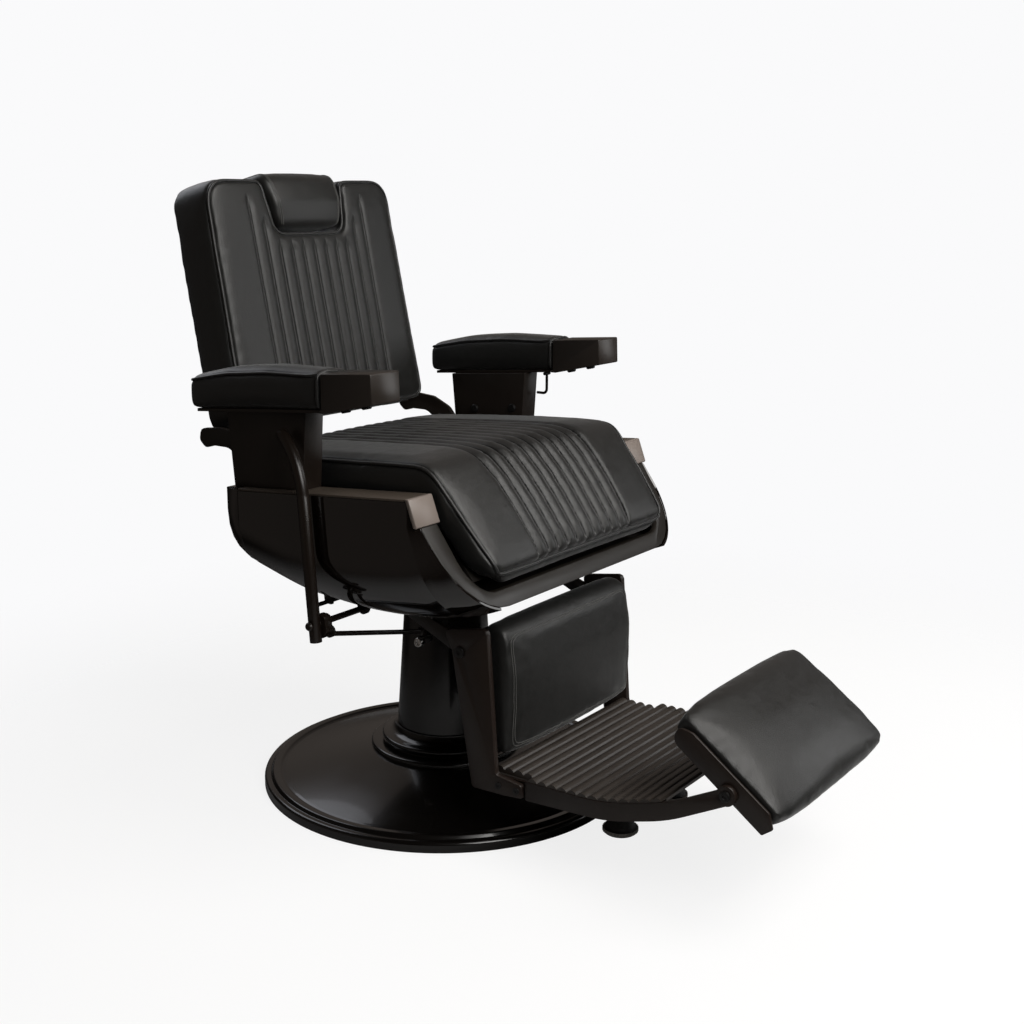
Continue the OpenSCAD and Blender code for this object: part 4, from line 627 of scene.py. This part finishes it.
def pad(form, grain_mm, smooth, pressure=3.0, limit_mm=4.0, settle=3, shape=None):
    """A cushion's cover: laid over the form, it swells on its stuffing by no more than the limit,
    settles, and is then divided once. The form is a bmesh and is used up."""
    swell_frames = 12
    bmesh.ops.remove_doubles(form, verts=form.verts, dist=0.00005)
    piece = placed("cover", meshed(form, "cover"))
    cover = piece.modifiers.new("cover", "REMESH")
    cover.mode = "VOXEL"
    cover.voxel_size = grain_mm / 1000
    even = piece.modifiers.new("even", "SMOOTH")
    even.factor = 0.5
    even.iterations = smooth
    mesh = applied(piece)
    if shape:
        for vertex in mesh.vertices:
            vertex.co = shape(vertex.co)
    start = [v.co.copy() for v in mesh.vertices]
    cloth = piece.modifiers.new("stuffing", "CLOTH")
    cloth.settings.use_pressure = True
    cloth.settings.uniform_pressure_force = pressure
    cloth.settings.effector_weights.gravity = 0
    cloth.settings.quality = 3
    cloth.settings.tension_stiffness = 30
    cloth.settings.compression_stiffness = 30
    cloth.settings.bending_stiffness = 12
    cloth.point_cache.frame_end = swell_frames
    for frame_number in range(1, swell_frames + 1):
        scene.frame_set(frame_number)
    mesh = applied(piece)
    scene.frame_set(1)
    for vertex, home in zip(mesh.vertices, start):
        step = vertex.co - home
        if step.length > limit_mm / 1000:
            vertex.co = home + step.normalized() * limit_mm / 1000
    calm = piece.modifiers.new("settled", "SMOOTH")
    calm.factor = 0.5
    calm.iterations = settle
    finer = piece.modifiers.new("finer", "SUBSURF")
    finer.levels = finer.render_levels = 1
    mesh = applied(piece)
    bpy.data.objects.remove(piece)
    return mesh


def ease(value, low, high):
    """0 at low, 1 at high, and smooth between them."""
    part = min(max((value - low) / (high - low), 0.0), 1.0)
    return part * part * (3 - 2 * part)


def sewn_channels(mesh, across_at, depth):
    """Sews the channels: across_at gives the place across them in mm and how far they are sewn."""
    across = mesh.attributes.new("across", "FLOAT", "POINT")
    sewn_here = mesh.attributes.new("channelled", "FLOAT", "POINT")
    places, shares, moved = [], [], []
    for vertex in mesh.vertices:
        at, share = across_at(vertex.co, vertex.normal)
        places.append(at)
        shares.append(share)
        drop = depth * (1 - abs(math.sin(math.pi * at / channel_pitch)) ** 0.7) if share > 0 else 0
        moved.append(vertex.co - vertex.normal * drop * share / 1000)
    across.data.foreach_set("value", places)
    sewn_here.data.foreach_set("value", shares)
    for vertex, place in zip(mesh.vertices, moved):
        vertex.co = place


def laid(path, mesh, lift_mm):
    """A path laid on a cover, lifted off it by lift_mm."""
    cover = BVHTree.FromPolygons([v.co for v in mesh.vertices], [p.vertices for p in mesh.polygons])
    out = []
    for place in path:
        found, normal, _, _ = cover.find_nearest(Vector(place))
        out.append(found + normal * lift_mm / 1000)
    return out


def drawn_along(mesh, path, depth, reach):
    """Draws the cover in along a sewn line by depth mm, easing out over reach mm."""
    line = KDTree(len(path))
    for i, place in enumerate(path):
        line.insert(place, i)
    line.balance()
    moved = []
    for vertex in mesh.vertices:
        _, _, away = line.find(vertex.co)
        moved.append(vertex.co - vertex.normal * depth / 1000 * (1 - ease(away * 1000, 1, reach)))
    for vertex, place in zip(mesh.vertices, moved):
        vertex.co = place


def evened(path, step_mm, closed=True):
    """The same line with points an even step apart, in metres."""
    out = []
    ends = path[1:] + path[:1] if closed else path[1:]
    for a, b in zip(path, ends):
        count = max(1, round((b - a).length * 1000 / step_mm))
        out += [a.lerp(b, k / count) for k in range(count)]
    return out if closed else out + [path[-1]]


def calmed(path, turns, closed=True):
    """The line with its jitter taken out."""
    for _ in range(turns):
        inner = [(path[i - 1] + path[i] * 2 + path[(i + 1) % len(path)]) / 4 for i in range(len(path))]
        path = inner if closed else path[:1] + inner[1:-1] + path[-1:]
    return path


def cord(name, paths, diameter, body):
    """Piping: a cord covered in the same hide, sewn in where two panels of a cover meet. The
    hide is coloured lighter on it, as a painted highlight along the cord.
    """
    curve = bpy.data.curves.new(name, "CURVE")
    curve.dimensions = "3D"
    curve.bevel_depth = diameter / 2000
    curve.bevel_resolution = 3
    curve.use_fill_caps = True
    for path in paths:
        spline = curve.splines.new("POLY")
        spline.points.add(len(path) - 1)
        spline.use_cyclic_u = True
        for point, place in zip(spline.points, path):
            point.co = (*place, 1)
    holder = placed(name, curve)
    mesh = bpy.data.meshes.new_from_object(holder.evaluated_get(bpy.context.evaluated_depsgraph_get()))
    bpy.data.objects.remove(holder)
    return finished(name, mesh, piping_hide_painted_highlight, body, "black_leather")


def piped(name, mesh, paths, diameter, body, sink=0.08, groove=2.0):
    """Lays piping on a cover and draws the cover in beside it."""
    lines = []
    for path in paths:
        line = calmed(evened(path, 6), 2)
        line = calmed(laid(line, mesh, 0), 2)
        drawn_along(mesh, evened(line, 3), groove, 8)
        lines.append(line)
    lines = [calmed(laid(line, mesh, diameter / 2 * (1 - 2 * sink)), 1) for line in lines]
    return cord(name, lines, diameter, body)


# polyester thread, waxed: its plies catch the light in dots
ply_mm = 0.625
thread, tree, place = blank("waxed_thread")
ply = add(tree, "TexNoise", {"Vector": (place, "Object"), "Scale": 1000 / ply_mm})
bump = add(tree, "Bump", {"Height": (ply, "Fac"), "Strength": 0.4, "Distance": 0.0003})
body = add(tree, "BsdfPrincipled", {"Base Color": colour("#5e5e5c"), "Roughness": 0.5,
                                    "Normal": (bump, "Normal"), "IOR": 1.5})
add(tree, "OutputMaterial", {"Surface": (body, 0)})


def stitched(name, mesh, paths, body, pitch_mm, thick_mm):
    """Rows of stitches: short lengths of thread with gaps between, half sunk in the hide."""
    form = bmesh.new()
    for path in paths:
        row = evened(calmed(laid(evened(path, 3, False), mesh, 0.4), 2, False), pitch_mm, False)
        for a, b in zip(row, row[1:]):
            middle, way = (a + b) / 2, b - a
            turn = way.to_track_quat("Z", "Y").to_matrix().to_4x4()
            bmesh.ops.create_cone(form, cap_ends=True, segments=6, radius1=thick_mm / 2000,
                                  radius2=thick_mm / 2000, depth=way.length * 0.68,
                                  matrix=Matrix.Translation(middle) @ turn)
    return finished(name, meshed(form, name), thread, body, "black_leather", sharp=50)


# Seat cushion: foam on the bent board, in a cover of one channelled panel that runs over the front,
# plain borders and a boxed side. Its front corners are round. Piping follows the panel's edge.
seat_half, seat_rear, lip_round, seat_seam = 262, 236, 34, 149


def between(table, at):
    """Value at a place, straight between the rows of a table and level past its ends."""
    for (start, low), (end, high) in zip(table, table[1:]):
        if at <= end:
            return low + (high - low) * max(0.0, (at - start) / (end - start))
    return table[-1][1]


def seat_taper(y):
    """Half width of the seat at y mm, as a share of its widest."""
    return between([(-302, 0.90), (-288, 0.94), (-272, 0.958), (-172, 1), (-60, 0.988), (60, 0.97),
                    (170, 0.95), (seat_rear, 0.945)], y)


def lip_drawn(x, y, z):
    """x drawn in where the front corners of the seat are rounded."""
    down = min(max((486 - z) / lip_round, 0), 1) if y < -200 else 0
    take = lip_round * (1 - math.sqrt(1 - down * down))
    half = seat_half * seat_taper(y)
    share = min(max((abs(x) - (half - 90)) / 90, 0), 1)
    return math.copysign(abs(x) - take * share ** 1.5, x)


def seat_shape(place):
    """The cover's points with the round front corners."""
    x, y, z = place * 1000
    return Vector((lip_drawn(x, y, z), y, z)) / 1000


def seat_channels(place, normal):
    """Place across the seat's channels, and how far they are sewn: only on top and over the front."""
    y = place.y * 1000
    across = place.x * 1000 / seat_taper(y)
    facing = ease(normal.z * 0.86 - normal.y * 0.5, 0.35, 0.7)
    edge = 1 - ease(abs(across), 140, seat_seam)
    return across, facing * edge * ease(y, seat_rear + 2, seat_rear - 18)


mesh = pad(node_form("seat_cushion"), 6.0, 4, shape=seat_shape)
sewn_channels(mesh, seat_channels, 4.5)
seat_line = [(seat_rear, 590, 12), (100, 600, 0), (-40, 611, 0), (-172, 620, 46), (-236, 543, 0),
             (-290, 469, 4)]
profile = [p for p in rounded(seat_line + [(-276, 440, 0), (seat_rear, 440, 0)], 8) if p.y > 452][:-1]
lowest = min(range(len(profile)), key=lambda k: profile[k].y)
profile = profile[:lowest + 1]
half_rim = [Vector((seat_half * seat_taper(p.x) - 3, p.x, p.y - 4)) for p in profile]
half_rim = [Vector((lip_drawn(*p), p.y, p.z)) for p in half_rim]
rim = [p / 1000 for p in half_rim] + [Vector((-p.x, p.y, p.z)) / 1000 for p in half_rim[::-1]]
piped("seat_piping", mesh, [rim], 5.5, "seat")
seat_cover = finished("seat_cover", mesh, channelled_hide, "seat", "black_leather", "seat_cushion")


# Uprights, arm plates and what fastens them: folded steel boxes that stand on the rails, each held
# by two socket screws, with a flat bar along the top that carries the arm.
satin_brown = sprayed("satin_brown_paint", "#1a1410", 0.38, 0.08, other="#1f1813")
for side in ("left", "right"):
    dress(f"upright_{side}", satin_brown, 1.6)
dress("arm_plates", satin_brown, 0.8)
dress("upright_bolts", black_oxide)
dress("arm_screws", black_oxide)


# Arm blocks: hollow steel ends of the arms, folded from sheet, welded, and ground smooth before
# painting. Screws from below hold them on the flat bars.
block_paint = sprayed("satin_block_paint", "#2a2521", 0.34, 0.06, other="#302a26")
for side in ("left", "right"):
    dress(f"arm_block_{side}", block_paint, 1.6)


# Arm pads: foam on the flat bars, with a raised top panel, bulging sides, and piping round the top
# and round the front end, where the pad meets the block.
arm_in_x, arm_out_x, arm_front, arm_h = 274.5, 337.5, -27, 51


def arm_under(y):
    """Height of the flat bar under the pad at y mm. It falls slightly to the rear."""
    return rail_z(36) + 134 - 0.085 * (y - arm_front)


def arm_top(y):
    """Height of the pad's top edge, which is crowned towards the rear."""
    return arm_under(y) + arm_h * between([(-33, 1), (20, 1.06), (80, 1.13), (170, 1.1), (255, 0.9)], y)


quarter = [math.pi / 2 * k / 5 for k in range(6)]
top_edge = [(arm_in_x, y) for y in range(-26, 240, 8)]
top_edge += [(arm_in_x + 10 * (1 - math.cos(a)), 241 + 12 * math.sin(a)) for a in quarter]
top_edge += [(arm_out_x - 10 + 10 * math.sin(a), 241 + 12 * math.cos(a)) for a in quarter]
top_edge += [(arm_out_x, y) for y in range(238, -27, -8)]
low_z, high_z = arm_under(-30) + 2, arm_under(-30) + 54
end_edge = rounded([(arm_in_x - 1, low_z, 9), (arm_out_x + 1, low_z, 9), (arm_out_x + 1, high_z, 9),
                    (arm_in_x - 1, high_z, 9)], 5)
for side, sign in (("left", 1), ("right", -1)):
    mesh = pad(node_form(f"arm_pad_{side}"), 4.0, 5, pressure=4.0, limit_mm=3.0)
    top = [Vector((sign * x, y, arm_top(y))) / 1000 for x, y in top_edge]
    end = [Vector((sign * p.x, arm_front, p.y)) / 1000 for p in end_edge]
    piped(f"arm_piping_{side}", mesh, [top, end], 4.5, "seat", sink=0.12, groove=1.4)
    cover = finished(f"arm_cover_{side}", mesh, black_hide, "seat", "black_leather", f"arm_pad_{side}")


# Release handle and leg arms: 5 mm wire bent at a right angle under the left arm, and the fixed
# steel arms that reach forward from the seat to the leg rest's pivots.
dress("release_handle", satin_brown)
dress("leg_arms", satin_brown, 1.0)


# Back: a core board with a steel sleeve for the headrest's bar, two curved flat arms with ground
# hinge pins, and a cover that wraps board and foam. It has a notch for the headrest, channels down
# its middle, boxing 94 mm deep and piping round the front.
dress("back_core", plywood("plywood_back", (0, 0.978, -0.208)), 0.5)
dress("headrest_guide", ground_steel, 0.3)
dress("back_arms", satin_brown, 1.2)
dress("back_pins", ground_steel, 0.4)

# the back's own frame: x across, y up its slope, z out of its front
back_lean, back_depth = 12, 94
back_frame = Matrix.Translation((0, 0.2335, 0.628)) @ Matrix.Rotation(math.radians(90 - back_lean), 4, "X")
to_back = back_frame.inverted()
low_half, top_half, back_h, notch_half, notch_foot = 234.5, 226, 412.5, 97, 320
back_outline = [(-low_half, -1, 26), (low_half, -1, 26), (top_half, back_h, 40), (notch_half, 412, 14),
                (83, notch_foot, 20), (-83, notch_foot, 20), (-notch_half, 412, 14), (-top_half, back_h, 40)]


def drawn_out(form, outline, way):
    """Adds a closed outline to the form, draws it out along a way, and gives the face it ends in."""
    flat = form.faces.new([form.verts.new(p) for p in outline])
    drawn = bmesh.ops.extrude_face_region(form, geom=[flat])["geom"]
    bmesh.ops.translate(form, verts=[g for g in drawn if isinstance(g, bmesh.types.BMVert)], vec=way)
    return [g for g in drawn if isinstance(g, bmesh.types.BMFace)][0]


form = bmesh.new()
rear_line = evened([p.to_3d() / 1000 for p in rounded(back_outline)], 8)
front_face = drawn_out(form, [(p.x, p.y, -back_depth / 1000) for p in rear_line], (0, 0, back_depth / 1000))
bmesh.ops.bevel(form, geom=list(front_face.edges), offset=0.006, segments=3, profile=0.5, material=-1,
                affect="EDGES")
bmesh.ops.recalc_face_normals(form, faces=form.faces)
bmesh.ops.transform(form, matrix=back_frame, verts=form.verts)


def back_shape(place):
    """The sides swell a little between the piping and the rear, and the front is crowned."""
    here = to_back @ place * 1000
    crown = 6 * (1 - (here.x / 234) ** 2) * ease(here.y, 4, 60) * ease(here.y, 411, 350)
    crown *= ease(here.z, -10, -2)
    waist = 2.5 * math.sin(math.pi * min(max(-here.z / back_depth, 0), 1))
    side = ease(abs(here.x), 190, 225)
    rise = ease(here.y, 380, 405)
    here.x += math.copysign(waist * side, here.x)
    here.y += waist * rise
    here.z += crown
    return back_frame @ (here / 1000)


def back_channels(place, normal):
    """Place across the back's channels, and how far they are sewn: up to the notch, and higher on
    each side of it."""
    here = to_back @ place * 1000
    facing = ease(-normal.y, 0.4, 0.75)
    if not facing:
        return here.x, 0
    seam = abs(round(here.x / channel_pitch))
    start = {4: 352, 5: 388}.get(seam, 312)
    fade = ease(here.y, start, start - 26) * ease(here.y, 2, 20)
    return here.x, facing * fade * (1 - ease(abs(here.x), 140, 149))


mesh = pad(form, 6.0, 10, pressure=2.0, limit_mm=2.0, settle=6, shape=back_shape)
sewn_channels(mesh, back_channels, 5.0)
rim = [back_frame @ (p.to_3d() / 1000 + Vector((0, 0, -0.002))) for p in rounded(back_outline)]
piped("back_piping", mesh, [rim], 5.5, "back")
back_cover = finished("back_cover", mesh, channelled_hide, "back", "black_leather", "back_cushion",
                      "back_skin")


# Headrest: a bolster on a flat chromed bar with a row of notches. Its ends are boxed, and a double
# row of stitches runs beside each end seam.
dress("headrest_bar", chrome, 0.4)
mesh = pad(node_form("headrest_pad"), 4.0, 8, pressure=4.0, limit_mm=3.0)
rest_half, rest_foot, rest_taper = 93, notch_foot + 1, 12
# height on the pad and place out of the back, from the top rear edge, over the top, down and under
wrap = [(106, -70), (108, -40), (106, -8), (95, 8), (75, 12), (50, 12), (25, 10), (10, 4)]
rows = []
for sign in (-1, 1):
    for inset in (11, 15):
        half = rest_half - inset
        row = [(sign * (half - rest_taper * max(0, 1 - v / 90)), rest_foot + v, w) for v, w in wrap]
        rows.append([back_frame @ (Vector(p) / 1000) for p in row])
stitched("headrest_stitches", mesh, rows, "headrest", 5.5, 1.6)
headrest_cover = finished("headrest_cover", mesh, black_hide, "headrest", "black_leather", "headrest_pad")


# Leg rest: two flat plates 10 mm thick, laser cut, that hang on pivot bolts, with a panel of folded
# sheet between them.
leg_paint = sprayed("satin_leg_paint", "#211915", 0.38, 0.08, other="#261d18")
for side in ("left", "right"):
    dress(f"leg_plate_{side}", leg_paint, 1.2)
dress("leg_bolts", black_oxide, 0.4)
dress("leg_panel", inner_paint, 0.6)


# Calf pad: foam on the sheet panel, in a plain cover. A double row of stitches runs round its face,
# close to the edge.
def calf_shape(place):
    """Foam plumps the pad out by 4 mm at its sides and front."""
    front = 1 - ease(place.y * 1000, -262, -225)
    return Vector((place.x * (1 + 0.024 * front), place.y - 0.004 * front, place.z))


mesh = pad(node_form("calf_cushion"), 5.0, 5, pressure=4.0, limit_mm=3.0, shape=calf_shape)
calf_half, calf_low, calf_high, calf_front = 178, 158, 360, -272
rows = []
for inset in (6, 10.5):
    half, low_z, high_z = calf_half - inset, calf_low + inset, calf_high - inset
    line = rounded([(-half, low_z, 16), (half, low_z, 16), (half, high_z, 20), (-half, high_z, 20)], 6)
    rows.append([Vector((p.x, calf_front, p.y)) / 1000 for p in line + line[:1]])
stitched("calf_stitches", mesh, rows, "leg_rest", 5.5, 1.5)
calf_cover = finished("calf_cover", mesh, black_hide, "leg_rest", "black_leather", "calf_cushion")


# Tread: two bent flat rails bolted to the lugs of the leg plates, and an alloy plate with ribs
# across, painted, and lighter in patches where it is worn.
for side in ("left", "right"):
    dress(f"tread_rail_{side}", leg_paint, 1.0)
dress("foot_tread", sprayed("tread_alloy_paint", "#2c2723", 0.36, 0.12, other="#3a342f"))


# Stop feet: moulded rubber pucks on threaded stems under the tread, each in a turned steel ring
# with a coarse knurl, by which it is screwed up or down.
bloom_mm = 8.33
rubber, tree, place = blank("moulded_rubber")
# a grey bloom in patches, as old rubber has
bloom = add(tree, "TexNoise", {"Vector": (place, "Object"), "Scale": 1000 / bloom_mm, "Detail": 4.0})
tone = add(tree, "Mix", {"Factor": (bloom, "Fac"), "A": colour("#0b0b0b"), "B": colour("#191817")},
           data_type="RGBA")
bump = add(tree, "Bump", {"Height": (bloom, "Fac"), "Strength": 0.2, "Distance": 0.0005})
body = add(tree, "BsdfPrincipled", {"Base Color": (tone, "Result"), "Roughness": 0.6,
                                    "Normal": (bump, "Normal"), "IOR": 1.52})
add(tree, "OutputMaterial", {"Surface": (body, 0)})
dress("stop_feet", rubber)
knurl_metal = bare_metal("knurled_steel", "#8d8a86", 0.4, 0.8)
ring_r, ring_t, ring_facets = 28.5, 5.5, 96
for side, sign in (("left", 1), ("right", -1)):
    form = bmesh.new()
    ring = bmesh.ops.create_cone(form, cap_ends=True, segments=ring_facets, radius1=ring_r / 1000,
                                 radius2=ring_r / 1000, depth=ring_t / 1000)
    # every third facet's edge is a groove of the knurl
    grooves = [v for v in ring["verts"]
               if round(math.atan2(v.co.y, v.co.x) / (2 * math.pi) * ring_facets) % 3 == 0]
    bmesh.ops.scale(form, verts=grooves, vec=(0.965, 0.965, 1))
    bmesh.ops.translate(form, verts=form.verts, vec=(sign * 0.080, -0.412, 0.0385))
    finished(f"stop_foot_rim_{side}", meshed(form, "knurl"), knurl_metal, "leg_rest", "rubber", sharp=20)


# Foot pad: a soft pillow in a steel tray that flips over on two bolts through the tread rails. The
# tray is folded from 5 mm sheet, open at its ends, and the pillow hangs over its sides.

# the pad's own frame: its origin is on the bolts, y runs up its slope
foot_frame_at = Matrix.Translation((0, -0.651, 0.201)) @ Matrix.Rotation(math.radians(36), 4, "X")
to_foot = foot_frame_at.inverted()
tray_in_x, tray_t, lug_r, tray_foot = 188.5, 5, 13, -7
lug_turns = [math.radians(-57 + 114 * k / 10) for k in range(11)]
lug = [(lug_r * math.sin(a), -lug_r * math.cos(a), 0) for a in lug_turns]
cut_ends = [(108, tray_foot, 16), (114, 17, 12), (92, 27, 20), (-58, 27, 8), (-76, 12, 3)]
tray_side = rounded([(-70, tray_foot, 3)] + lug + cut_ends, 5)
tray_floor = [Vector(p) for p in ((-68, tray_foot), (98, tray_foot), (98, -3), (-68, -3))]
form = bmesh.new()
for line, start, width in ((tray_side, -tray_in_x - tray_t, tray_t), (tray_side, tray_in_x, tray_t),
                           (tray_floor, -tray_in_x - 0.1, 2 * tray_in_x + 0.2)):
    drawn_out(form, [(start / 1000, p.x / 1000, p.y / 1000) for p in line], (width / 1000, 0, 0))
bmesh.ops.recalc_face_normals(form, faces=form.faces)
rims = [e for e in form.edges if len(e.link_faces) == 2 and e.calc_face_angle() > 1.2]
bmesh.ops.bevel(form, geom=rims, offset=0.001, segments=2, profile=0.5, material=-1, affect="EDGES")
bmesh.ops.transform(form, matrix=foot_frame_at, verts=form.verts)
finished("foot_tray", meshed(form, "tray"), leg_paint, "foot_pad", "satin_paint", "foot_frame", sharp=30)
dress("foot_pivot_bolts", black_oxide, 0.4)


def foot_shape(place):
    """The pillow hangs over the sides of its tray, and its top corners are round."""
    here = to_foot @ place * 1000
    pillow_half, pillow_low, pillow_high = 188, -78, 126
    middle = (pillow_low + pillow_high) / 2
    over = ease(here.z, 22, 32) * (1 - ease(here.z, 40, 58))
    here.x *= 1 + 0.036 * over
    here.y = middle + (here.y - middle) * (1 + 0.03 * over)
    u, v = abs(here.x) / pillow_half, abs(here.y - middle) / 106
    draw = 1 - min(0.07, 0.07 * max(0.0, u ** 6 + v ** 6 - 1)) * ease(here.z, 36, 52)
    here.x *= draw
    here.y = middle + (here.y - middle) * draw
    return foot_frame_at @ (here / 1000)


mesh = pad(node_form("foot_cushion"), 5.0, 14, pressure=5.0, limit_mm=5.0, settle=6, shape=foot_shape)
foot_cover = finished("foot_cover", mesh, black_hide, "foot_pad", "black_leather", "foot_cushion")


# Lever and linkage: a bent steel tube clamped on a cross shaft under the seat, with a knuckle at
# its foot and a thin rod with two eyes that runs from it to the column head.
lever_paint = sprayed("satin_lever_paint", "#1b1511", 0.30, 0.06, other="#201914")
for name in ("side_lever", "lever_shaft", "link_rod"):
    dress(name, lever_paint, 0.5)
